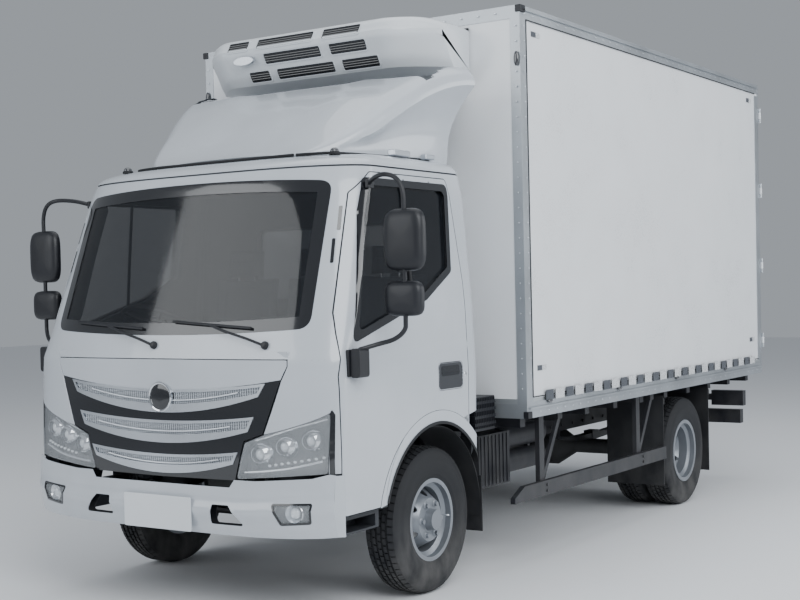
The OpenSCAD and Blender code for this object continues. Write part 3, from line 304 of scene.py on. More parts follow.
TAPE_LIGHT = Finish("tape_white", "box_panel", (0.82, 0.84, 0.86), 0.3, vary=0.04, grain=300,
                    pattern=Pattern.MESH, pitch=0.006, depth=0.0002)
TAPE_DARK = Finish("tape_grey", "edge_metal", (0.09, 0.10, 0.12), 0.3, vary=0.05, grain=300,
                   pattern=Pattern.MESH, pitch=0.006, depth=0.0002)
LAMP_DARK = Finish("lamp_dark", "black_plastic", (0.05, 0.052, 0.06), 0.1, vary=0.1, grain=60, coat=1.0,
                   depth=0.0003, pattern=Pattern.RIBBED, pitch=0.006)
PALE = Finish("paper_white", "black_plastic", (0.62, 0.65, 0.68), 0.7, vary=0.05)


# ---------------------------------------------------------------- mesh making
def flat(v: Sequence[float]) -> Vector:
    """Shorter name for a vector."""
    return Vector(v)


class Solid:
    """Collects closed shapes and turns them into one piece."""

    def __init__(self) -> None:
        """Start empty."""
        self.bm = bmesh.new()

    def faces(self, points: Sequence[Vector], faces: Sequence[Face]) -> "Solid":
        """Add points and the faces on them."""
        made = [self.bm.verts.new(p) for p in points]
        for f in faces:
            if len(set(f)) > 2:
                try:
                    self.bm.faces.new([made[i] for i in f])
                except ValueError:
                    continue
        return self

    def box(self, low: Sequence[float], high: Sequence[float], turn: Matrix | None = None) -> "Solid":
        """Add a block between two corners, turned about its middle if asked."""
        a, b = flat(low), flat(high)
        mid = (a + b) / 2
        pts = [flat((x, y, z)) for z in (a.z, b.z) for y in (a.y, b.y) for x in (a.x, b.x)]
        if turn:
            pts = [mid + turn @ (p - mid) for p in pts]
        return self.faces(pts, [(0, 2, 3, 1), (4, 5, 7, 6), (0, 1, 5, 4), (2, 6, 7, 3), (0, 4, 6, 2),
                                (1, 3, 7, 5)])

    def rings(self, rings: Sequence[Sequence[Vector]], caps: bool = True, closed: bool = False) -> "Solid":
        """Add a skin through rings with the same number of points.

        Args:
            rings: Rings in order.
            caps: Close both ends.
            closed: Join the last ring to the first.

        Returns:
            This collection.
        """
        n, m = len(rings[0]), len(rings)
        faces: list[Face] = []
        for k in range(m if closed else m - 1):
            a, b = k * n, ((k + 1) % m) * n
            faces += [(a + i, a + (i + 1) % n, b + (i + 1) % n, b + i) for i in range(n)]
        if caps and not closed:
            faces += [tuple(range(n - 1, -1, -1)), tuple((m - 1) * n + i for i in range(n))]
        return self.faces([p for r in rings for p in r], faces)

    def prism(self, outline: Sequence[Point2], axis: int, low: float, high: float) -> "Solid":
        """Add an outline pushed along an axis: 0 reads (y, z), 1 reads (x, z), 2 reads (x, y)."""
        def at(p: Point2, d: float) -> Vector:
            return flat([(d, *p), (p[0], d, p[1]), (*p, d)][axis])
        return self.rings([[at(p, low) for p in outline], [at(p, high) for p in outline]])

    def spin(self, profile: Sequence[Point2], centre: Sequence[float], axis: Sequence[float], n: int = 48,
             closed: bool = True) -> "Solid":
        """Add a turned shape.

        Args:
            profile: Points as (radius, place along the axis).
            centre: A point on the axis.
            axis: Direction of the axis.
            n: Steps round it.
            closed: The profile is a loop; else its ends lie on the axis and get caps.

        Returns:
            This collection.
        """
        w = flat(axis).normalized()
        u = w.orthogonal().normalized()
        v = w.cross(u)
        c = flat(centre)
        rings = [[c + (u * math.cos(a) + v * math.sin(a)) * r + w * d
                  for a in (math.tau * i / n for i in range(n))] for r, d in profile]
        return self.rings(rings, caps=not closed, closed=closed)

    def rod(self, a: Sequence[float], b: Sequence[float], r: float, r2: float | None = None,
            n: int = 20) -> "Solid":
        """Add a round bar between two points, tapered to r2."""
        start, end = flat(a), flat(b)
        return self.spin([(r, 0.0), (r if r2 is None else r2, (end - start).length)], start, end - start, n,
                         False)

    def tube(self, path: Sequence[Sequence[float]], r: float, n: int = 14, smooth: int = 6,
             squash: float = 1.0) -> "Solid":
        """Add a round rod on a smooth curve through the points."""
        pts = [flat(p) for p in path]
        fine: list[Vector] = []
        for i in range(len(pts) - 1):
            p0, p1, p2, p3 = pts[max(i - 1, 0)], pts[i], pts[i + 1], pts[min(i + 2, len(pts) - 1)]
            for k in range(smooth):
                t = k / smooth
                fine.append(0.5 * ((2 * p1) + (p2 - p0) * t + (2 * p0 - 5 * p1 + 4 * p2 - p3) * t * t
                                   + (3 * p1 - p0 - 3 * p2 + p3) * t ** 3))
        fine.append(pts[-1])
        side = (fine[1] - fine[0]).orthogonal().normalized()
        rings = []
        for i, p in enumerate(fine):
            way = (fine[min(i + 1, len(fine) - 1)] - fine[max(i - 1, 0)]).normalized()
            side = (side - way * side.dot(way)).normalized()
            other = way.cross(side)
            rings.append([p + side * r * math.cos(a) + other * r * squash * math.sin(a)
                          for a in (math.tau * j / n for j in range(n))])
        return self.rings(rings)

    def ball(self, centre: Sequence[float], size: Sequence[float], n: int = 16) -> "Solid":
        """Add an egg shape."""
        half = [(max(1e-5, math.sin(math.pi * i / n)), -math.cos(math.pi * i / n)) for i in range(n + 1)]
        c, s = flat(centre), flat(size)
        rings = [[c + flat((r * math.cos(a) * s.x, r * math.sin(a) * s.y, d * s.z))
                  for a in (math.tau * i / (2 * n) for i in range(2 * n))] for r, d in half]
        return self.rings(rings)

    def mirror(self) -> "Solid":
        """Add the same shapes on the other side of the truck."""
        made = bmesh.ops.duplicate(self.bm, geom=self.bm.verts[:] + self.bm.edges[:] + self.bm.faces[:])
        for v in (g for g in made["geom"] if isinstance(g, bmesh.types.BMVert)):
            v.co.x = -v.co.x
        bmesh.ops.reverse_faces(self.bm, faces=[g for g in made["geom"] if isinstance(g, bmesh.types.BMFace)])
        return self

    def flip(self) -> "Solid":
        """Move everything to the other side of the truck."""
        for v in self.bm.verts:
            v.co.x = -v.co.x
        bmesh.ops.reverse_faces(self.bm, faces=self.bm.faces)
        return self

    def piece(self, name: str, finish: Finish, body: str, replaces: Sequence[str] = (), bevel: float = 0.0,
              smooth: float = 35.0, levels: int = 0, weld: float = 1e-5) -> bpy.types.Object:
        """Turn what was collected into an object that rides on a body.

        Args:
            name: Piece name.
            finish: Its finish.
            body: Body that it moves with.
            replaces: Nodes that it stands for.
            bevel: Width of its rounded edges.
            smooth: Edges flatter than this, in degrees, are shaded smooth.
            levels: Subdivision levels.
            weld: Distance under which points are joined.

        Returns:
            The finished object.
        """
        bmesh.ops.remove_doubles(self.bm, verts=self.bm.verts, dist=weld)
        bmesh.ops.recalc_face_normals(self.bm, faces=self.bm.faces)
        mesh = bpy.data.meshes.new(name)
        self.bm.to_mesh(mesh)
        self.bm.free()
        obj = bpy.data.objects.new(name, mesh)
        bpy.context.scene.collection.objects.link(obj)
        for poly in mesh.polygons:
            poly.use_smooth = True
        mesh.set_sharp_from_angle(angle=math.radians(smooth))
        mesh.materials.append(finish.material())
        if bevel:
            mod = obj.modifiers.new("edges", "BEVEL")
            mod.width, mod.segments, mod.limit_method, mod.angle_limit = bevel, 2, "ANGLE", math.radians(40)
            mod.harden_normals = True
        if levels:
            mod = obj.modifiers.new("round", "SUBSURF")
            mod.levels = mod.render_levels = levels
        return settle(obj, body, replaces)


def settle(obj: bpy.types.Object, body: str,
           replaces: Sequence[str] = ()) -> bpy.types.Object:
    """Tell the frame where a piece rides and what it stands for."""
    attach(obj, body)
    if replaces:
        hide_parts(*replaces)
    LOG.info("%s rides on %s", obj.name, body)
    return obj


def dress(finish: Finish, *nodes: str) -> None:
    """Give nodes of the frame a finish."""
    for name in nodes:
        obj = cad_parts[name]
        obj.data.materials.clear() if not obj.material_slots else None
        if not obj.material_slots:
            obj.data.materials.append(finish.material())
        for slot in obj.material_slots:
            slot.material = finish.material()


def catmull(points: Sequence[Point2], step: float, closed: bool = True) -> list[Point2]:
    """Resample a polygon's edges to pieces no longer than step, keeping its corners."""
    out: list[Point2] = []
    count = len(points) if closed else len(points) - 1
    for i in range(count):
        (x0, y0), (x1, y1) = points[i], points[(i + 1) % len(points)]
        n = max(1, math.ceil(math.hypot(x1 - x0, y1 - y0) / step))
        out += [(x0 + (x1 - x0) * k / n, y0 + (y1 - y0) * k / n) for k in range(n)]
    return out if closed else out + [points[-1]]


def rounded(points: Sequence[Point2], r: float, n: int = 6) -> list[Point2]:
    """Round a polygon's corners with radius about r."""
    out: list[Point2] = []
    for i, p in enumerate(points):
        a, b, c = Vector(points[i - 1]), Vector(p), Vector(points[(i + 1) % len(points)])
        u, v = a - b, c - b
        corner = max(u.angle(v), 0.05)
        cut = min(r / math.tan(corner / 2), u.length * 0.45, v.length * 0.45)
        s, e = b + u.normalized() * cut, b + v.normalized() * cut
        for k in range(n + 1):
            t = k / n
            out.append(tuple(s * (1 - t) ** 2 + b * 2 * t * (1 - t) + e * t * t))
    return out


def grow(points: Sequence[Point2], g: float) -> list[Point2]:
    """Offset a polygon outward by g, inward where g is negative."""
    area = sum(a[0] * b[1] - b[0] * a[1] for a, b in zip(points, list(points[1:]) + [points[0]]))
    sign = 1 if area > 0 else -1
    out: list[Point2] = []
    n = len(points)
    for i in range(n):
        a, b, c = Vector(points[i - 1]), Vector(points[i]), Vector(points[(i + 1) % n])
        u, v = (b - a), (c - b)
        if u.length < 1e-7 or v.length < 1e-7:
            out.append(tuple(b))
            continue
        n1, n2 = Vector((u.y, -u.x)).normalized() * sign, Vector((v.y, -v.x)).normalized() * sign
        mid = (n1 + n2)
        mid = mid.normalized() if mid.length > 1e-6 else n1
        out.append(tuple(b + mid * g / max(0.5, mid.dot(n1))))
    return out


def inside(p: Point2, loop: Sequence[Point2]) -> bool:
    """Whether a point lies in a polygon."""
    hit, n = False, len(loop)
    for i in range(n):
        (x0, y0), (x1, y1) = loop[i], loop[i - 1]
        if (y0 > p[1]) != (y1 > p[1]) and p[0] < (x1 - x0) * (p[1] - y0) / (y1 - y0) + x0:
            hit = not hit
    return hit


def sheet(solid: Solid, loops: Sequence[Sequence[Point2]], at: Surface, outer: float, inner: float,
          step: float = 0.025) -> Solid:
    """Add a curved panel with an outline, holes and a thickness.

    Args:
        solid: Collection to add to.
        loops: Outline first, then its holes, in the surface's own two coordinates.
        at: Gives the place of (first, second, depth below the surface).
        outer: Depth of its outer face.
        inner: Depth of its inner face.
        step: Size of its facets.

    Returns:
        The collection.
    """
    loops = [catmull(loop, step * 0.6) for loop in loops]
    pts = [Vector(p) for loop in loops for p in loop]
    edges, base = [], 0
    for loop in loops:
        edges += [(base + i, base + (i + 1) % len(loop)) for i in range(len(loop))]
        base += len(loop)
    xs, ys = [p.x for p in pts], [p.y for p in pts]
    near = {}
    for p in pts:
        near.setdefault((int(p.x // step), int(p.y // step)), []).append(p)
    rows = math.ceil((max(ys) - min(ys)) / step)
    cols = math.ceil((max(xs) - min(xs)) / step)
    for r in range(rows):
        for c in range(cols):
            q = Vector((min(xs) + (c + 0.5 * (r % 2)) * step, min(ys) + r * step))
            cell = (int(q.x // step), int(q.y // step))
            close = any((q - p).length < step * 0.45 for i in (-1, 0, 1) for j in (-1, 0, 1)
                        for p in near.get((cell[0] + i, cell[1] + j), ()))
            if not close and inside(q, loops[0]) and not any(inside(q, h) for h in loops[1:]):
                pts.append(q)
    got, _, tris, *_ = delaunay_2d_cdt(pts, edges, [], 0, 1e-6)
    keep = []
    for t in tris:
        mid = sum((got[i] for i in t), Vector((0, 0))) / 3
        if inside(mid, loops[0]) and not any(inside(mid, h) for h in loops[1:]):
            keep.append(tuple(t))
    n = len(got)
    count: dict[tuple[int, int], int] = {}
    for t in keep:
        for i in range(3):
            count[(t[i], t[(i + 1) % 3])] = 1
    rim = [e for e in count if (e[1], e[0]) not in count]
    faces: list[Face] = [t for t in keep] + [(t[2] + n, t[1] + n, t[0] + n) for t in keep]
    faces += [(e[1], e[0], e[0] + n, e[1] + n) for e in rim]
    places = [at(p.x, p.y, outer) for p in got] + [at(p.x, p.y, inner) for p in got]
    return solid.faces(places, faces)


# ---------------------------------------------------------------- repeated shapes
class Shape(Enum):
    """What is repeated."""

    ROUND = 24
    HEX = 6
    STUD = 12


class NodeGroup:
    """A geometry node tree under construction."""

    def __init__(self, name: str, **inputs: float | int) -> None:
        """Start a tree with named number inputs."""
        self.tree = bpy.data.node_groups.new(name, "GeometryNodeTree")
        face = self.tree.interface
        face.new_socket("Geometry", in_out="INPUT", socket_type="NodeSocketGeometry")
        face.new_socket("Geometry", in_out="OUTPUT", socket_type="NodeSocketGeometry")
        self.keys = {}
        for key, value in inputs.items():
            kind = "NodeSocketInt" if isinstance(value, int) else "NodeSocketFloat"
            self.keys[key] = face.new_socket(key, in_out="INPUT", socket_type=kind).identifier
        self.values = inputs
        self.source = self.tree.nodes.new("NodeGroupInput")
        self.sink = self.tree.nodes.new("NodeGroupOutput")

    def add(self, kind: str, settings: dict[str, object] | None = None, **links: object) -> bpy.types.Node:
        """Add a node; sockets are linked or set by their names with _ for a space."""
        made = self.tree.nodes.new(kind)
        for key, value in (settings or {}).items():
            setattr(made, key, value)
        for key, value in links.items():
            name = key.replace("_", " ")
            socket = next(s for s in made.inputs if s.name == name and s.enabled)
            if isinstance(value, bpy.types.NodeSocket):
                self.tree.links.new(value, socket)
            else:
                socket.default_value = value
        return made

    def apply(self, obj: bpy.types.Object, finish: Finish, shape: bpy.types.NodeSocket) -> bpy.types.Object:
        """Finish the tree, run it on an object and keep the plain result."""
        plain = self.add("GeometryNodeRealizeInstances", Geometry=shape)
        done = self.add("GeometryNodeSetMaterial", Geometry=plain.outputs[0], Material=finish.material())
        self.tree.links.new(done.outputs[0], self.sink.inputs[0])
        mod = obj.modifiers.new("repeat", "NODES")
        mod.node_group = self.tree
        for key, value in self.values.items():
            mod[self.keys[key]] = value
        view = bpy.context.evaluated_depsgraph_get()
        mesh = bpy.data.meshes.new_from_object(obj.evaluated_get(view))
        obj.modifiers.remove(mod)
        obj.data = mesh
        return obj


def scatter(name: str, spots: Sequence[tuple[Sequence[float], Sequence[float]]], shape: Shape,
            finish: Finish, body: str,
            radius: float, height: float) -> bpy.types.Object:
    """Repeat a bolt or rivet head over places.

    Args:
        name: Piece name.
        spots: Places with the way that each head faces.
        shape: Kind of head.
        finish: Its finish.
        body: Body that it rides on.
        radius: Size across, halved.
        height: How far it stands up.

    Returns:
        The piece.
    """
    mesh = bpy.data.meshes.new(name)
    mesh.from_pydata([tuple(p) for p, _ in spots], [], [])
    facing = mesh.attributes.new("facing", "FLOAT_VECTOR", "POINT")
    for i, (_, way) in enumerate(spots):
        facing.data[i].vector = tuple(way)
    obj = bpy.data.objects.new(name, mesh)
    bpy.context.scene.collection.objects.link(obj)
    g = NodeGroup(name, Radius=radius, Height=height,
                  Sides=int(shape.value if shape is not Shape.ROUND else 12))
    top = 0.55 if shape is Shape.ROUND else 0.86
    small = g.add("ShaderNodeMath", {"operation": "MULTIPLY"})
    g.tree.links.new(g.source.outputs["Radius"], small.inputs[0])
    small.inputs[1].default_value = top
    cone = g.add("GeometryNodeMeshCone", Vertices=g.source.outputs["Sides"],
                 Radius_Bottom=g.source.outputs["Radius"],
                 Radius_Top=small.outputs[0], Depth=g.source.outputs["Height"])
    way = g.add("GeometryNodeInputNamedAttribute", {"data_type": "FLOAT_VECTOR"}, Name="facing")
    turn = g.add("FunctionNodeAlignRotationToVector", {"axis": "Z"}, Vector=way.outputs[0])
    put = g.add("GeometryNodeInstanceOnPoints", Points=g.source.outputs[0], Instance=cone.outputs[0],
                Rotation=turn.outputs[0])
    g.apply(obj, finish, put.outputs[0])
    return settle(obj, body)


def around(solid: Solid, name: str, centre: Sequence[float], count: int, finish: Finish, body: str,
           step: Sequence[float] | None = None, replaces: Sequence[str] = ()) -> bpy.types.Object:
    """Repeat a shape round the wheel axis, or along a line when step is given.

    Args:
        solid: The shape, drawn round the origin.
        name: Piece name.
        centre: Where the origin goes.
        count: How many.
        finish: Its finish.
        body: Body that it rides on.
        step: From one to the next, for a line.
        replaces: Nodes that it stands for.

    Returns:
        The piece.
    """
    bmesh.ops.recalc_face_normals(solid.bm, faces=solid.bm.faces)
    mesh = bpy.data.meshes.new(name)
    solid.bm.to_mesh(mesh)
    solid.bm.free()
    obj = bpy.data.objects.new(name, mesh)
    bpy.context.scene.collection.objects.link(obj)
    g = NodeGroup(name, Count=count, Turn=0.0 if step else math.tau / count, X=float(step[0] if step else 0),
                  Y=float(step[1] if step else 0), Z=float(step[2] if step else 0))
    index = g.add("GeometryNodeInputIndex")
    pace = g.add("ShaderNodeCombineXYZ", X=g.source.outputs["X"], Y=g.source.outputs["Y"],
                 Z=g.source.outputs["Z"])
    shift = g.add("ShaderNodeVectorMath", {"operation": "SCALE"}, Vector=pace.outputs[0],
                  Scale=index.outputs[0])
    home = g.add("ShaderNodeVectorMath", {"operation": "ADD"})
    g.tree.links.new(shift.outputs[0], home.inputs[0])
    home.inputs[1].default_value = tuple(centre)
    spots = g.add("GeometryNodePoints", Count=g.source.outputs["Count"], Position=home.outputs[0])
    angle = g.add("ShaderNodeMath", {"operation": "MULTIPLY"})
    g.tree.links.new(index.outputs[0], angle.inputs[0])
    g.tree.links.new(g.source.outputs["Turn"], angle.inputs[1])
    euler = g.add("ShaderNodeCombineXYZ", X=angle.outputs[0])
    put = g.add("GeometryNodeInstanceOnPoints", Points=spots.outputs[0], Instance=g.source.outputs[0],
                Rotation=euler.outputs[0])
    g.apply(obj, finish, put.outputs[0])
    for poly in obj.data.polygons:
        poly.use_smooth = True
    obj.data.set_sharp_from_angle(angle=math.radians(35))
    return settle(obj, body, replaces)


# ---------------------------------------------------------------- shared sizes
def table(z: float, rows: Sequence[Point2]) -> float:
    """Straight-line lookup in rows of (height, value)."""
    if z <= rows[0][0]:
        return rows[0][1]
    for (z0, v0), (z1, v1) in zip(rows, rows[1:]):
        if z <= z1:
            return v0 + (v1 - v0) * (z - z0) / (z1 - z0)
    return rows[-1][1]


@dataclass(frozen=True)
class Form:
    """Sizes of the truck in metres, and the surface of its cab."""

    half: float = 1.020
    bumper_y: float = -2.997
    front_axle: float = -1.925
    rear_axle: float = 1.435
    axle_z: float = 0.3875
    cab_rear: float = -1.480
    roof_edge: float = 2.225
    roof_top: float = 2.305
    box_front: float = -1.1705
    box_rear: float = 2.9775
    box_half: float = 1.160
    box_low: float = 0.866
    box_top: float = 3.182
    lift: float = 0.0012

    def side(self, z: float) -> float:
        """Half width at a height."""
        return self.half - table(z, [(.52, .010), (1.15, 0), (1.5, .014), (2.1, .066), (2.225, .092)])

    def nose(self, z: float) -> float:
        """Foremost point at a height."""
        return self.bumper_y + table(z, [(.52, .057), (.8, .047), (1.28, .064), (1.4, .096), (2.16, .345),
                                         (2.225, .372)])

    def depth(self, z: float) -> float:
        """Depth over which the front turns into the side."""
        return table(z, [(.52, .172), (1.28, .182), (1.4, .222), (2.16, .272), (2.225, .276)])

    def turned(self, x: float, w: float, d: float) -> float:
        """Depth behind the nose for a place across."""
        return d * (1 - math.sqrt(max(0.0, 1 - min(1.0, abs(x) / w) ** 3.5)))

    def point(self, s: float, v: float, deep: float = 0.0) -> Vector:
        """Place on the cab.

        Args:
            s: Way round the cab from the middle of the front, positive to the truck's left.
            v: Height; above the roof's edge it follows the rounding.
            deep: Depth below the paint.

        Returns:
            The place.
        """
        side = 1 if s >= 0 else -1
        s = abs(s)
        low = min(v, self.roof_edge)
        a = min(max((v - self.roof_edge) / 0.13, 0.0), 1.0) * math.pi / 2
        over = 1 - math.cos(a)
        z = low + (self.roof_top - self.roof_edge - deep) * math.sin(a) if a > 0 else v
        w = self.side(low) - 0.17 * over - deep
        y0 = self.nose(low) + 0.33 * over + deep
        d = self.depth(low)
        back = self.cab_rear - 0.06 * over - deep
        end = self.corner
        if s < end:
            t = s / end
            ang = math.pi / 2 * t
            x = w * math.sin(ang) ** self.bend
            return flat((side * x, y0 + self.turned(x, w, d), z))
        run = back - 0.06 - (y0 + d)
        rest = s - end
        if rest <= run:
            return flat((side * w, y0 + d + rest, z))
        turn = min((rest - run) / 0.06, math.pi / 2)
        x = w - 0.06 + 0.06 * math.cos(turn)
        y = back - 0.06 + 0.06 * math.sin(turn)
        beyond = max(0.0, rest - run - 0.06 * math.pi / 2)
        return flat((side * (x - beyond), y, z))

    @property
    def corner(self) -> float:
        """Way round at which the flat side begins."""
        return 1.13

    @property
    def bend(self) -> float:
        """How the way round is spread over the curved front."""
        return 0.80

    def from_x(self, x: float, z: float) -> float:
        """Way round for a place seen from the front."""
        w = self.side(min(z, self.roof_edge))
        t = math.asin(min(1.0, (abs(x) / w)) ** (1 / self.bend)) / (math.pi / 2)
        return math.copysign(t * self.corner, x)

    def from_y(self, y: float, z: float) -> float:
        """Way round for a place seen from the side."""
        low = min(z, self.roof_edge)
        w, y0, d = self.side(low), self.nose(low), self.depth(low)
        if y >= y0 + d:
            return self.corner + (y - y0 - d)
        u = 1 - (1 - max(0.0, y - y0) / d) ** 2
        return self.from_x(w * max(0.0, u) ** (1 / 3.5), z)

    def front_skin(self, x: float, z: float, deep: float = 0.0) -> Vector:
        """Place on the front, seen from the front."""
        w, d = self.side(z) - deep, self.depth(z)
        return flat((x, self.nose(z) + deep + self.turned(x, w, d), z))


F = Form()


def side_loop(points: Sequence[Point2], side: int = 1) -> list[Point2]:
    """Turn a side-view outline, (y, z), into the cab's own coordinates."""
    return [(side * F.from_y(y, z), z) for y, z in catmull(points, 0.02)]


def front_loop(points: Sequence[Point2]) -> list[Point2]:
    """Turn a front-view outline, (x, z), into the cab's own coordinates."""
    return [(F.from_x(x, z), z) for x, z in catmull(points, 0.02)]


def door_outline(g: float = 0.0) -> list[Point2]:
    """Door's outline in side view without its arch, grown by g."""
    f, r = F.bumper_y + 0.197, F.cab_rear
    return grow(rounded([(f, .537), (f, 1.2), (f + .055, 1.5), (f + .27, 2.085), (f + .4, 2.19),
                         (r - .19, 2.19),
                         (r - .126, 1.63), (r - .126, .537)], 0.03), g)


def clip_arch(loop: Sequence[Point2], r: float) -> list[Point2]:
    """Cut the wheel arch out of the lower rear corner of an outline that runs round it."""
    cy, cz = F.front_axle, F.axle_z
    low = min(z for _, z in loop)
    back = max(y for y, _ in loop)
    keep = [p for p in catmull(loop, 0.02) if math.hypot(p[0] - cy,
        p[1] - cz) > r and not (p[0] > cy and p[1] < cz + r * 0.6)]
    a0 = math.asin((low - cz) / r)
    start = math.pi - a0
    end = math.acos(min(1.0, (back - cy) / r))
    arc = [(cy + r * math.cos(t), cz + r * math.sin(t)) for t in
           (start + (end - start) * k / 40 for k in range(41))]
    last = min(range(len(keep)), key=lambda i: math.hypot(keep[i][0] - arc[-1][0], keep[i][1] - arc[-1][1]))
    ring = keep[last:] + keep[:last]
    if math.hypot(ring[1][0] - arc[-1][0], ring[1][1] - arc[-1][1]) > 0.2:
        ring = ring[1:] + ring[:1]
    if math.hypot(ring[-1][0] - arc[0][0], ring[-1][1] - arc[0][1]) > 0.3:
        ring = list(reversed(ring))
    return ring + arc


def both_halves(half: Sequence[Point2]) -> list[Point2]:
    """Whole outline from the half with x from zero up."""
    return list(half) + [(-x, z) for x, z in reversed(half) if x > 0]


def window_outline(g: float = 0.0) -> list[Point2]:
    """Door window's outline in side view, grown by g."""
    f, r = F.bumper_y + 0.337, F.cab_rear
    return rounded(grow([(f, 1.385), (f + .16, 1.985), (f + .225, 2.136), (r - .22, 2.136), (r - .262, 1.709),
                         (f + .66, 1.573)], g), 0.035)


def screen_outline(g: float = 0.0) -> list[Point2]:
    """Windscreen's outline in front view, grown by g."""
    low = [(.85 * i / 6, 1.43 - .028 * (1 - (i / 6) ** 2)) for i in range(-6, 7)]
    high = [(.82 * i / 6, 2.147 + .028 * (1 - (i / 6) ** 2)) for i in range(6, -7, -1)]
    return rounded(grow(low + high, g), 0.07)


def panel_outline(g: float = 0.0) -> list[Point2]:
    """Front panel's outline in front view, grown by g."""
    half = [(.468, .695), (.525, .888), (.634, .925), (.733, 1.182), (.766, 1.25), (.766, 1.28)]
    return grow([(0, .690)] + half + [(0, 1.28)] + [(-x, z) for x, z in reversed(half)], g)


def lamp_outline(g: float = 0.0) -> list[Point2]:
    """Left headlamp's outline in front view, grown by g."""
    return rounded(grow([(.476, .700), (.530, .880), (.636, .920), (.973, 1.031), (.958, .742)], g), 0.014)


def crescent(w: float, end_top: float, end_low: float, mid_top: float, mid_low: float,
             g: float = 0.0) -> list[Point2]:
    """One curved bar of the grille in front view, grown by g."""
    n = 12
    low = [(w * .94 * i / n, mid_low + (end_low - mid_low) * (i / n) ** 2) for i in range(-n, n + 1)]
    high = [(w * i / n, mid_top + (end_top - mid_top) * (i / n) ** 2) for i in range(n, -n - 1, -1)]
    return grow(low + high, g)


CRESCENTS = ((.650, 1.168, 1.105, 1.128, 1.014), (.585, 1.006, .935, .972, .862),
             (.490, .832, .775, .803, .710))


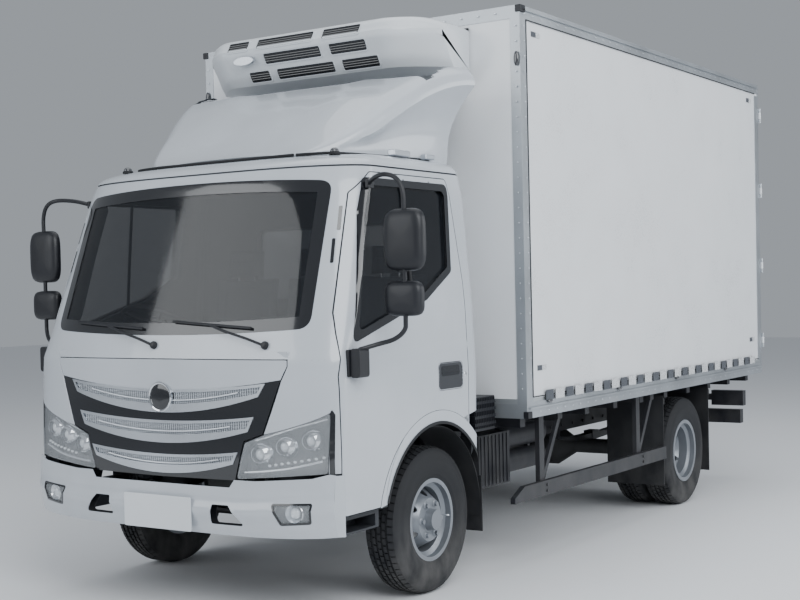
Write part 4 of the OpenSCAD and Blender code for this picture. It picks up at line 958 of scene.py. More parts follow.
# ---------------------------------------------------------------- cab
@dataclass
class Cab:
    """Painted shell, roof, lamps and steps of the cab."""

    gap: float = 0.0045
    skin: float = 0.003
    body: str = "cab"
    opening: tuple[Point2, ...] = ((.330, .478), (.535, .478), (.445, .576), (.345, .576))
    fog: tuple[Point2, ...] = ((.735, .493), (.893, .506), (.905, .608), (.690, .598))

    def build(self) -> None:
        """Make every piece of the cab in order."""
        self.shell()
        self.roof()
        self.rear()
        self.screen()
        self.lamps()
        self.bumper()
        self.steps()
        self.wipers()
        self.roof_lamps()

    def shell(self) -> None:
        """Front skin in one piece: cowl, pillars, corners and the bands round the doors."""
        g = self.gap
        edge = sorted((p for p in panel_outline(g) if p[0] > 0.05 and p[1] > 0.93), key=lambda p: -p[1])
        front = [(0.0, 1.2845)] + edge + [(.642, .9245), (.976, 1.0355), (.961, .742)]
        half = [(F.from_x(x, z), z) for x, z in front]
        half += [(F.from_y(y, z), z) for y, z in self._round_door(g)]
        cy, cz, r = F.front_axle, F.axle_z, .524
        for k in range(25):
            t = math.radians(163 - 91 * k / 24)
            half.append((F.from_y(cy + r * math.cos(t), cz + r * math.sin(t)), cz + r * math.sin(t)))
        half += [(F.from_y(F.cab_rear - .06, z) + .09, z) for z in (.945, 1.2, 1.5, 1.75, 2.0,
            2.2205)] + [(0.0, 2.2205)]
        outline = half + [(-s, v) for s, v in reversed(half) if abs(s) > 1e-6]
        solid = Solid()
        sheet(solid, [outline, front_loop(screen_outline(0.0))], F.point, -F.lift, self.skin, 0.02)
        solid.piece("cab_front_skin", PAINT, self.body, bevel=0.0012)

    def _round_door(self, g: float) -> list[Point2]:
        """Path in side view up the front of the door, over it and down to the arch."""
        loop = clip_arch(door_outline(g), .580 - g)
        ring, arc = loop[:-41], loop[-41:]
        front = F.bumper_y + .24
        path = [p for p in reversed(ring) if not (p[0] < front and p[1] < .748) and p[1] > .545]
        return [(F.bumper_y + .197 - g, .742)] + path + list(reversed(arc))

    def roof(self) -> None:
        """Roof skin with its rounded edge."""
        solid = Solid()
        rings = []
        levels = [(2.2295 + .1255 * k / 10, 0.0) for k in range(11)]
        for depth in (-F.lift, self.skin):
            order = levels if depth < 0 else list(reversed(levels))
            if depth < 0:
                for v, _ in order:
                    rings.append(self._ring(v, depth))
                for share in (.8, .55, .3, .05):
                    rings.append([flat((p.x * share, (p.y + 1.9) * share - 1.9,
                                        F.roof_top + F.lift + .004 * (1 - share)))
                                  for p in rings[10]])
            else:
                for share in (.05, .3, .55, .8):
                    rings.append([flat((p.x * share, (p.y + 1.9) * share - 1.9, F.roof_top - self.skin))
                                  for p in rings[10]])
                for v, _ in order:
                    rings.append(self._ring(v, depth))
        solid.rings(rings, caps=False, closed=True)
        solid.piece("cab_roof_skin", PAINT, self.body)

    def _ring(self, v: float, deep: float, n: int = 64) -> list[Vector]:
        """One closed outline of the cab at a level."""
        low = min(v, F.roof_edge)
        y0, d = F.nose(low), F.depth(low)
        a = min(max((v - F.roof_edge) / 0.13, 0.0), 1.0) * math.pi / 2
        over = 1 - math.cos(a)
        run = (F.cab_rear - .06 * over - deep - .06) - (y0 + .33 * over + deep + d)
        full = F.corner + run + .06 * math.pi / 2
        left = [F.point(full * (i / n), v, deep) for i in range(n + 1)]
        right = [flat((-p.x, p.y, p.z)) for p in reversed(left[1:])]
        return left + right

    def rear(self) -> None:
        """Rear wall with pressed ribs, and its window rubber."""
        solid = Solid()
        y = F.cab_rear + F.lift
        window = rounded([(-.48, 1.56), (.48, 1.56), (.48, 1.98), (-.48, 1.98)], .05)
        def wall(x: float, z: float, deep: float) -> Vector:
            """Place on the ribbed wall."""
            rib = .006 * max(0.0, math.cos(z * 40)) if abs(x) < .8 and z < 1.45 else 0.0
            return flat((x, y - deep - rib, z))
        edge = rounded([(-.93, 1.0), (.93, 1.0), (.93, 1.6), (.875, 2.2), (-.875, 2.2), (-.93, 1.6)], .03)
        sheet(solid, [edge, window], wall, 0, .003, .03)
        solid.piece("cab_rear_skin", PAINT, self.body)
        rubber = Solid()
        sheet(rubber, [grow(window, .022), grow(window, -.008)], lambda x, z, d: flat((x, y + d, z)), .003,
              -.012, .02)
        rubber.piece("rear_window_rubber", RUBBER, self.body, bevel=.002)

    def screen(self) -> None:
        """Windscreen with its dark printed edge, and the rear window."""
        glass = Solid()
        at = lambda x, z, d: F.front_skin(x, z, d)
        sheet(glass, [screen_outline(-.001)], at, .001, .005, .03)
        sheet(glass, [rounded([(-.478, 1.562), (.478, 1.562), (.478, 1.978), (-.478, 1.978)], .05)],
              lambda x, z, d: flat((x, F.cab_rear - .012 + d, z)), 0, .004, .05)
        glass.piece("windscreen", GLASS, self.body, ["cab_glass"])
        edge = Solid()
        inner = rounded(grow(screen_outline(-.001), -.058), .05)
        sheet(edge, [screen_outline(.002), inner], at, -.0016, .0008, .02)
        edge.piece("windscreen_edge", GLOSS, self.body, bevel=.0006)
        vent = Solid()
        for side in (1, -1):
            for k in range(2):
                z = 2.02 - k * .16
                loop = [(side * x, zz) for x, zz in ((.872, z), (.885, z), (.897, z - .12), (.884, z - .12))]
                sheet(vent, [rounded(loop, .005, 3)], at, -.003, .001, .02)
        vent.piece("pillar_vents", GLOSS, self.body)

    def lamps(self) -> None:
        """Headlamps: bowl, projector, reflectors, bright bar, lens and dark edge."""
        at = lambda x, z, d: F.front_skin(x, z, d)
        bowl, chrome, dark, lens, core = Solid(), Solid(), Solid(), Solid(), Solid()
        sheet(bowl, [lamp_outline(-.001)], at, .058, .064, .02)
        for k in range(2):
            sheet(bowl, [lamp_outline(-.001 - .0001), lamp_outline(-.006)], at, .004, .060, .02)
        for x, z, r in ((.60, .825, .062), (.735, .865, .058), (.865, .895, .060)):
            c = F.front_skin(x, z, .030)
            way = flat((x * .18, -1, -.03)).normalized()
            chrome.spin([(r, -.018), (r + .006, -.014), (r + .004, -.004), (r * .62, .026), (r * .60, .022),
                         (r - .004, -.014)], c, way, 40)
            core.ball(c - way * .008, (r * .5, r * .42, r * .5), 12)
            chrome.spin([(r * .70, -.010), (r * .74, -.006), (r * .70, -.002)], c + way * .012, way, 40)
        path = [F.front_skin(x, z, .014) for x, z in ((.52, .735), (.64, .745), (.78, .765), (.93, .80))]
        chrome.tube(path, .007)
        path = [F.front_skin(x, z, .018) for x, z in ((.58, .893), (.66, .915), (.80, .96), (.945, 1.0))]
        chrome.tube(path, .006)
        for k in range(9):
            x = .655 + k * .034
            c = F.front_skin(x, .772 + k * .0055, .022)
            core.ball(c, (.010, .007, .007), 8)
        sheet(lens, [lamp_outline(-.0015)], at, .0005, .0035, .02)
        strip = [(.966, .735), (.986, .728), (.990, 1.022), (.978, 1.045), (.972, 1.036)]
        sheet(dark, [rounded(strip, .004, 3)], at, -.0022, .012, .015)
        for s in (bowl, chrome, dark, lens, core):
            s.mirror()
        bowl.piece("headlamp_bowls", LAMP_DARK, self.body, ["headlamps"])
        chrome.piece("headlamp_reflectors", CHROME, self.body)
        core.piece("headlamp_projectors", FINISH_LIGHT, self.body)
        lens.piece("headlamp_lenses", LENS, self.body)
        dark.piece("headlamp_edges", GLOSS, self.body)

    def bumper(self) -> None:
        """Bumper with its crease, openings, fog lamps and blank plate."""
        def at(x: float, z: float, deep: float) -> Vector:
            """Place on the bumper."""
            w = F.half + .005 - deep
            u = min(1.0, abs(x) / w)
            y = F.bumper_y + .006 + deep + .184 * (1 - math.sqrt(max(0.0, 1 - u ** 3.2)))
            t = (z - .425) / .28
            crease = .016 * (1 - abs(max(-1.0, min(1.0,
                (t - .42 - .25 * (abs(x) > .5) * (abs(x) - .5)) * 5))))
            tuck = .020 * max(0.0, .35 - t) ** 2 / .12 + .012 * max(0.0, t - .8)
            return flat((x, y + tuck + .016 - crease, z))
        w = .9965
        low = [(x, .425 + .018 * max(0.0, (x - .5) / .5) ** 2) for x in (0, .2, .4, .6, .8, .93, w)]
        high = [(w, .735), (.975, .742), (.90, .722), (.6, .700), (.480, .700), (.452, .662), (0, .662)]
        half = low + high
        outline = both_halves(half)
        holes = [rounded([(side * x, z) for x, z in self.opening], .012) for side in (1, -1)]
        fog = [rounded([(side * x, z) for x, z in self.fog], .014) for side in (1, -1)]
        shell = Solid()
        sheet(shell, [outline] + holes + fog, at, 0.0, .004, .02)
        for side in (1, -1):
            back = [flat((side * (F.half + .0045), F.bumper_y + .19, z)) for z in (.443, .60, .735)]
            front = [at(side * w, z, 0.0) for z in (.443, .60, .735)]
            inner_back = [p - flat((side * .004, 0, 0)) for p in back]
            inner_front = [p + flat((-side * .004, .002, 0)) for p in front]
            shell.rings([list(corner) for corner in zip(front, back, inner_back, inner_front)])
        shell.piece("bumper_skin", PAINT, self.body, ["front_bumper"], bevel=.0015)
        dark, chrome, core = Solid(), Solid(), Solid()
        sheet(dark, [[(-.96, .445), (.96, .445), (.96, .64), (-.96, .64)]] + holes, at, .050, .054, .04)
        lens, rim = Solid(), Solid()
        for side, loop in zip((1, -1), fog):
            c = at(side * .805, .553, .020)
            way = flat((side * .22, -1, 0)).normalized()
            chrome.spin([(.046, -.004), (.048, .004), (.044, .008), (.034, -.012), (.024, -.022),
                         (.040, -.014)], c, way, 40)
            core.ball(c - way * .012, (.026, .018, .026), 12)
            sheet(rim, [loop, grow(loop, -.009)], at, -.001, .046, .012)
            sheet(lens, [grow(loop, -.0092)], at, .004, .007, .02)
        rim.piece("fog_lamp_frames", GLOSS, self.body, bevel=.001)
        lens.piece("fog_lamp_covers", LENS, self.body)
        chrome.piece("fog_lamp_rings", CHROME, self.body)
        core.piece("fog_lamp_lenses", FINISH_LIGHT, self.body)
        for side in (1, -1):
            dark.box((side * .52 - .02, F.bumper_y + .10, .590), (side * .52 + .02, F.bumper_y + .33, .640))
            dark.box((side * .52 - .02, F.bumper_y + .27, .64), (side * .52 + .02, F.bumper_y + .33, .7147))
        dark.piece("bumper_inner", PLASTIC, self.body)
        plate = Solid()
        y = F.bumper_y
        plate.prism(rounded([(-.225, .432), (.225, .432), (.225, .602), (-.225, .602)], .012), 1, y + .0005,
                    y + .006)
        plate.prism(rounded([(-.218, .439), (.218, .439), (.218, .595), (-.218, .595)], .010), 1, y + .0002,
                    y + .0012)
        plate.piece("number_plate", FOIL, self.body, bevel=.001)
        spots = [((x, y + .0019, .511 + z), (0, -1, 0)) for x in (-.084, .084) for z in (-.045, .067)]
        scatter("plate_screws", spots, Shape.HEX, GLOSS, self.body, .0135, .0015)

    def steps(self) -> None:
        """Steps below the doors, arch flares and their rubber lips."""
        dark, flare, lip = Solid(), Solid(), Solid()
        y0, y1 = F.bumper_y + .219, F.front_axle - .504
        for k in range(7):
            x = .966 - k * .022
            dark.box((x - .007, y0 + .02, .532), (x, y1 - .02, .5395))
        cy, cz = F.front_axle, F.axle_z
        for lo, hi, out, solid, a1 in ((.521, .578, .003, flare, 158), (.506, .522, .006, lip, 162)):
            loop_out, loop_in = [], []
            start = 29 if solid is flare else 25
            for k in range(49):
                a = math.radians(start + (a1 - start) * k / 48)
                taper = 1.0 if a < 2.2 else max(.25, 1 - (a - 2.2) * 1.1)
                h = lo + (hi - lo) * (taper if solid is flare else 1)
                loop_out.append((cy + h * math.cos(a), cz + h * math.sin(a)))
                loop_in.append((cy + lo * math.cos(a), cz + lo * math.sin(a)))
            back = F.cab_rear - .005
            ring = [(y, z) for y, z in loop_out + list(reversed(loop_in)) if y < back]
            sheet(solid, [side_loop(ring)], F.point, -out, .012, .02)
        for s in (dark, flare, lip):
            s.mirror()
        dark.piece("step_treads", PLASTIC, self.body, bevel=.001)
        flare.piece("arch_flares", PAINT, self.body, bevel=.002)
        lip.piece("arch_lips", RUBBER, self.body, bevel=.002)

    def wipers(self) -> None:
        """Two wipers with hubs, arms, blades and rubbers."""
        solid, rubber = Solid(), Solid()
        for x in (-.06, .64):
            c = F.front_skin(x, 1.352, -.012)
            solid.spin([(.001, .016), (.012, .014), (.020, .002), (.021, -.008), (.001, -.008)], c,
                       (0, -1, .25), 24, False)
            path = [F.front_skin(x - dx, z, -h) for dx, z,
                    h in ((0, 1.352, .020), (.10, 1.385, .026), (.22, 1.416, .024), (.34, 1.450, .018))]
            solid.tube(path, .0075, 10, squash=.6)
            blade = [F.front_skin(x - .09 - .1 * k, 1.434 + .007 * k, -.013) for k in range(6)]
            solid.tube(blade, .0075, 10, squash=.8)
            rubber.tube([p + flat((0, .008, 0)) for p in blade], .003, 6)
        solid.piece("wiper_arms", PLASTIC, self.body, ["wipers"])
        rubber.piece("wiper_rubbers", RUBBER, self.body)

    def roof_lamps(self) -> None:
        """Marker lamps on the front of the roof with their rubber feet."""
        foot, dome = Solid(), Solid()
        for side in (1, -1):
            c = flat((side * .716, -2.386, F.roof_top - .004))
            foot.spin([(.030, -.006), (.030, .004), (.024, .010), (.001, .010), (.001, -.006)], c, (0, 0, 1),
                      32, False)
            dome.ball(c + flat((0, 0, .010)), (.022, .026, .020), 12)
        for side in (1, -1):
            path = [(side * x, y, F.roof_top + .005) for x,
                    y in ((.08, -2.30), (.26, -2.33), (.44, -2.36), (.60, -2.372))]
            foot.tube(path, .006, 8)
        foot.piece("roof_lamp_feet", RUBBER, self.body)
        dome.piece("roof_lamp_domes", LAMP_DARK, self.body)


FINISH_LIGHT = Finish("lamp_core", "lamp_glass", (0.72, 0.76, 0.80), 0.04, 0.25, coat=1.0, vary=0.1,
                      grain=80, depth=0.0004, pattern=Pattern.RIBBED, pitch=0.008)


@dataclass
class FrontPanel:
    """White panel below the windscreen with the dark grille and its bright bars."""

    body: str = "front_panel"

    def build(self) -> None:
        """Make the panel, grille, bars, mesh and disc."""
        at = lambda x, z, d: F.front_skin(x, z, d)
        white, dark, bars, inner = Solid(), Solid(), Solid(), Solid()
        split_z = 1.186
        edge = [(.733, split_z), (.766, 1.25), (.766, 1.2785), (.75, 1.28), (0, 1.28), (-.75, 1.28),
                (-.766, 1.2785), (-.766, 1.25), (-.733, split_z)]
        edge += [(x, split_z - .060 * (1 - (x / .733) ** 2)) for x in (-.6, -.45, -.3, -.15, 0, .15, .3, .45,
            .6)]
        sheet(white, [edge], at, -F.lift, .003, .02)
        grille = [(0, .690), (.468, .695), (.525, .888), (.634, .925), (.733, split_z - .001)]
        grille += [(x, split_z - .062 * (1 - (x / .733) ** 2)) for x in (.6, .45, .3, .15, 0)]
        full = both_halves(grille)
        holes = [crescent(*c, g=-.002) for c in CRESCENTS]
        sheet(dark, [full] + holes, at, -.0008, .006, .02)
        sheet(inner, [grow(full, -.02)], at, .026, .030, .04)
        mesh = Solid()
        for c in CRESCENTS:
            ring = crescent(*c, g=.001)
            sheet(mesh, [crescent(*c, g=-.001)], at, .004, .007, .02)
            sheet(bars, [ring, crescent(*c, g=-.013)], at, -.0052, .008, .014)
            w, _, el, mt, ml = c
            low = [(w * .94 * i / 12, ml + (el - ml) * (i / 12) ** 2) for i in range(-12, 13)]
            high = [(x * .985, z + .030 * (1 - (x / w) ** 2) + .012) for x, z in reversed(low)]
            sheet(bars, [low + high], at, -.0054, .004, .014)
            bars.tube([F.front_skin(x * .97, z + (mt - ml) * .52 * (1 - (x / w) ** 2 * .4), -.0005) for x,
                       z in low[2:-2:2]], .0042, 8)
        disc = flat((0, F.nose(1.091) - .011, 1.091))
        ring_, face = Solid(), Solid()
        ring_.spin([(.070, -.012), (.0765, -.010), (.0765, .002), (.072, .006), (.066, .003), (.066, -.008)],
                   disc, (0, -1, 0), 56)
        face.spin([(.067, -.012), (.067, -.001), (.050, .0035), (.020, .0045), (.001, .0048), (.001, -.012)],
                  disc, (0, -1, 0), 56, False)
        white.piece("front_panel_skin", PAINT, self.body, bevel=.0012)
        dark.piece("grille_surround", GLOSS, self.body, ["grille"], bevel=.0015)
        inner.piece("grille_back", PLASTIC, self.body)
        mesh.piece("grille_mesh", MESH, self.body, ["grille_bars"])
        bars.piece("grille_frames", SATIN, self.body, bevel=.0015)
        ring_.piece("grille_ring", CHROME, self.body)
        face.piece("grille_disc", GLOSS, self.body)


@dataclass
class Door:
    """A cab door with its window, handle and mirrors."""

    side: int

    @property
    def body(self) -> str:
        """Body that it rides on."""
        return "door_left" if self.side > 0 else "door_right"

    def done(self, solid: Solid, name: str, finish: Finish, **more: object) -> None:
        """Put a piece on its own side and finish it."""
        if self.side < 0:
            solid.flip()
        solid.piece(f"{self.body}_{name}", finish, self.body, **more)

    def build(self) -> None:
        """Make the skin, window, handle and mirrors."""
        skin = Solid()
        loop = side_loop(clip_arch(door_outline(0.0), .580))
        handle = [(-1.912, 1.072), (-1.672, 1.072), (-1.672, 1.208), (-1.912, 1.208)]
        def press(s: float, v: float, deep: float) -> Vector:
            """Door surface with its pressed crease."""
            p = F.point(s, v, deep)
            line = 1.245 + (s - 1.2) * .05
            dip = .0025 * math.exp(-((v - line) / .018) ** 2) * min(1.0, max(0.0, (s - 1.05) * 4))
            return p + flat((dip, 0, 0))
        sheet(skin, [loop, side_loop(window_outline(.001)), side_loop(rounded(handle, .022))], press,
              -F.lift, .003, .02)
        self.done(skin, "skin", PAINT, bevel=.0012)
        dark = Solid()
        sheet(dark, [side_loop(window_outline(.027)), side_loop(window_outline(-.012))], F.point, -.0032,
              .014, .02)
        self.done(dark, "window_rubber", GLOSS, bevel=.0012)
        bar = Solid()
        y = F.bumper_y + .337 + .53
        bar.tube([F.point(F.from_y(y + dy, z), z, .006) for dy, z in ((0, 1.53), (.0, 1.85), (.0, 2.13))],
                 .009, 8)
        self.done(bar, "window_bar", RUBBER)
        glass = Solid()
        sheet(glass, [side_loop(window_outline(-.001))], F.point, .014, .018, .03)
        self.done(glass, "glass", GLASS, replaces=[f"door_glass_{'left' if self.side > 0 else 'right'}"])
        cup, pull = Solid(), Solid()
        def bowl(s: float, v: float, deep: float) -> Vector:
            """Hollow behind the handle."""
            mid = F.from_y(-1.792, v)
            r = max(abs(s - mid) / .12, abs(v - 1.14) / .068)
            return F.point(s, v, deep + .030 * (1 - min(1.0, r) ** 4))
        sheet(cup, [side_loop(rounded(grow(handle, .006), .026))], bowl, -.0022, .0042, .008)
        self.done(cup, "handle_cup", PLASTIC)
        sheet(pull, [side_loop(rounded([(-1.885, 1.142), (-1.70, 1.142), (-1.70, 1.194), (-1.885, 1.194)],
                                       .018))],
              F.point, -.002, .012, .012)
        self.done(pull, "handle", GLOSS, bevel=.003)
        lock = Solid()
        c = F.point(F.from_y(-1.64, 1.14), 1.14, 0)
        lock.spin([(.012, -.002), (.012, .002), (.009, .003), (.001, .003), (.001, -.002)], c, (1, 0, 0), 24,
                  False)
        self.done(lock, "lock", CHROME)
        screws = [(F.point(F.from_y(y, 2.165), 2.165, -.001) , (1, 0, .3)) for y in (-2.1, -1.85)]
        screws = [((self.side * p.x, p.y, p.z), (self.side, 0, .3)) for p, _ in screws]
        scatter(f"{self.body}_screws", screws, Shape.ROUND, PLASTIC, self.body, .006, .003)
        self.mirrors()

    def mirrors(self) -> None:
        """Arm with the tall mirror, the wide one and the foot block."""
        y = F.bumper_y + .437
        arm = Solid()
        arm.tube([(.955, y + .118, 2.128), (1.03, y + .06, 2.152), (1.12, y + .01, 2.158), (1.19, y, 2.135),
                  (1.226, y, 2.07),
                  (1.228, y, 1.95), (1.228, y, 1.70), (1.228, y, 1.47), (1.222, y - .004, 1.41),
                  (1.18, y - .03, 1.368),
                  (1.11, y - .07, 1.345), (1.052, y - .142, 1.322)], .0115, 14)
        for z in (1.93, 1.76, 1.58):
            arm.spin([(.020, -.022), (.022, -.016), (.022, .016), (.020, .022)], (1.228, y, z), (0, 0, 1),
                     20, False)
        arm.box((1.0135, y - .20, 1.195), (1.032, y - .09, 1.325))
        arm.box((.948, y + .095, 2.108), (.968, y + .150, 2.150))
        self.done(arm, "mirror_arm", PLASTIC, replaces=[f"mirrors_{'left' if self.side > 0 else 'right'}"],
                  bevel=.004)
        case, face = Solid(), Solid()
        for x0, x1, z0, z1, deep in ((1.116, 1.339, 1.691, 1.989, .052), (1.116, 1.324, 1.476, 1.644, .048)):
            mid = flat(((x0 + x1) / 2, y, (z0 + z1) / 2))
            hw, hh = (x1 - x0) / 2, (z1 - z0) / 2
            rings = []
            for t, k in ((0, 1.0), (.25, 1.0), (.6, .97), (.85, .86), (1.0, .62), (1.0, .05)):
                ring = []
                for i in range(40):
                    a = math.tau * i / 40
                    c, s = math.cos(a), math.sin(a)
                    q = (abs(c) ** 4.5 + abs(s) ** 4.5) ** (-1 / 4.5)
                    ring.append(mid + flat((hw * k * c * q, .022 - deep * t, hh * k * s * q)))
                rings.append(ring)
            rings.insert(0, [mid + (p - mid) * .94 + flat((0, .0012, 0)) for p in rings[0]])
            rings.insert(0, [p - flat((0, .006, 0)) for p in rings[0]])
            case.rings(rings)
            outline = [(p.x, p.z) for p in [mid + (q - mid) * .985 for q in rings[0]]]
            face.prism(outline, 1, y + .0165, y + .0195)
        foot = [(1.03, 1.19), (1.085, 1.19), (1.085, 1.33), (1.03, 1.33)]
        case.prism(rounded(foot, .02), 1, y - .188, y - .102)
        self.done(case, "mirror_cases", PLASTIC, smooth=50, bevel=.003)
        self.done(face, "mirror_faces", CHROME)


@dataclass
class Inside:
    """Seats, steering wheel and dashboard details of the cab."""

    rows: tuple[float, ...] = (-.52, .02, .52)

    def build(self) -> None:
        """Make the cushions and the details seen through the glass."""
        base = 1.0003
        for i, x in enumerate(self.rows):
            self.cushion(f"seat_cushion_{i}", (x, F.cab_rear - .375, base + .075), (.222, .225, .070), 0.0,
                         ["seats"] if i == 0 else [])
            self.cushion(f"seat_back_{i}", (x, F.cab_rear - .128, base + .425), (.218, .052, .265), .17, [])
            self.cushion(f"seat_head_{i}", (x, F.cab_rear - .098, base + .775), (.118, .042, .080), .10, [])
        posts = Solid()
        for x in self.rows:
            for s in (-1, 1):
                posts.rod((x + s * .06, F.cab_rear - .104, base + .66),
                          (x + s * .06, F.cab_rear - .099, base + .75), .006)
            posts.box((x - .2, F.cab_rear - .59, base), (x + .2, F.cab_rear - .15, base + .022))
        posts.piece("seat_posts", CHROME, "cab", bevel=.002)
        wheel, hub = Solid(), Solid()
        m = Matrix.Translation((-.5, F.front_axle - .47, 1.45)) @ Matrix.Rotation(math.radians(-26), 4, "X")
        rim = [(.205 + .0145 * math.cos(a),
                .0145 * math.sin(a)) for a in (math.tau * k / 16 for k in range(16))]
        axis = (m.to_3x3() @ flat((0, 0, 1)))
        wheel.spin(rim, m.translation, axis, 72)
        for a in (90, 225, 315):
            r = math.radians(a)
            at = lambda d, z: m @ flat((d * math.cos(r), d * math.sin(r), z))
            wheel.tube([at(.05, -.008), at(.11, -.012), at(.16, -.006), at(.20, 0)], .013, 12, squash=.8)
        hub.spin([(.060, -.022), (.063, .002), (.052, .014), (.020, .019), (.001, .0195), (.001, -.022)],
                 m.translation, axis, 40, False)
        wheel.piece("steering_rim", PLASTIC, "steering_wheel", ["steering_wheel"])
        hub.piece("steering_boss", GLOSS, "steering_wheel")
        dash, pale = Solid(), Solid()
        y = F.bumper_y + .217
        for x0 in (-.28, .05, .38, .68):
            for k in range(4):
                dash.box((x0, y + .335, 1.325 - k * .014), (x0 + .12, y + .338, 1.331 - k * .014))
        dash.prism(rounded([(-.69, 1.39), (-.31, 1.39), (-.33, 1.455), (-.67, 1.455)], .02), 1, y + .12,
                   y + .26)
        dash.tube([(.30, y + .20, 1.39), (.31, y + .20, 1.45), (.42, y + .20, 1.47), (.60, y + .20, 1.47),
                   (.70, y + .20, 1.45), (.71, y + .20, 1.39)], .012, 10)
        dash.piece("dashboard_details", PLASTIC, "cab", bevel=.003)
        turn = Matrix.Rotation(math.radians(14), 3, "Z")
        pale.box((.12, y + .06, 1.401), (.42, y + .22, 1.409), turn)
        pale.box((-.06, y + .10, 1.401), (.06, y + .20, 1.452), Matrix.Rotation(math.radians(24), 3, "Z"))
        pale.piece("dashboard_boxes", PALE, "cab", bevel=.003)

    def cushion(self, name: str, centre: Sequence[float], half: Sequence[float], lean: float,
                stands: Sequence[str]) -> None:
        """One padded block, crowned, pulled in between its corners, with sewn channels."""
        solid = Solid()
        c, h = flat(centre), flat(half)
        thin = min(range(3), key=lambda i: h[i])
        other = [i for i in range(3) if i != thin]
        n = 26
        def at(u: float, v: float, top: int) -> Vector:
            """Place on one face, u and v from -1 to 1."""
            pull = 1 - .045 * (1 - v * v) * abs(u) ** 6, 1 - .045 * (1 - u * u) * abs(v) ** 6
            edge = max(abs(u), abs(v)) ** 5
            channel = .10 * math.exp(-((abs(u) - .62) / .035) ** 2)
            channel += .07 * math.exp(-((v - .15) / .03) ** 2) * (abs(u) < .62)
            crown = (1 - .42 * edge) * (1 - channel)
            p = flat((0, 0, 0))
            p[other[0]], p[other[1]] = u * h[other[0]] * pull[0], v * h[other[1]] * pull[1]
            p[thin] = top * h[thin] * crown
            p.y += lean * p.z
            return c + p
        grid = [[at(-1 + 2 * i / n, -1 + 2 * j / n,
                    t) for i in range(n + 1) for j in range(n + 1)] for t in (1, -1)]
        faces: list[Face] = []
        size = (n + 1) ** 2
        for t in range(2):
            for i in range(n):
                for j in range(n):
                    a = t * size + i * (n + 1) + j
                    q = (a, a + 1, a + n + 2, a + n + 1)
                    faces.append(q if t else q[::-1])
        rim = [i * (n + 1) for i in range(n)] + [n * (n + 1) + j for j in range(n)]
        rim += [i * (n + 1) + n for i in range(n, 0, -1)] + [j for j in range(n, 0, -1)]
        faces += [(rim[k], rim[(k + 1) % len(rim)], rim[(k + 1) % len(rim)] + size,
                   rim[k] + size) for k in range(len(rim))]
        solid.faces(grid[0] + grid[1], faces)
        obj = solid.piece(name, FABRIC, "cab", stands, smooth=60, levels=1)


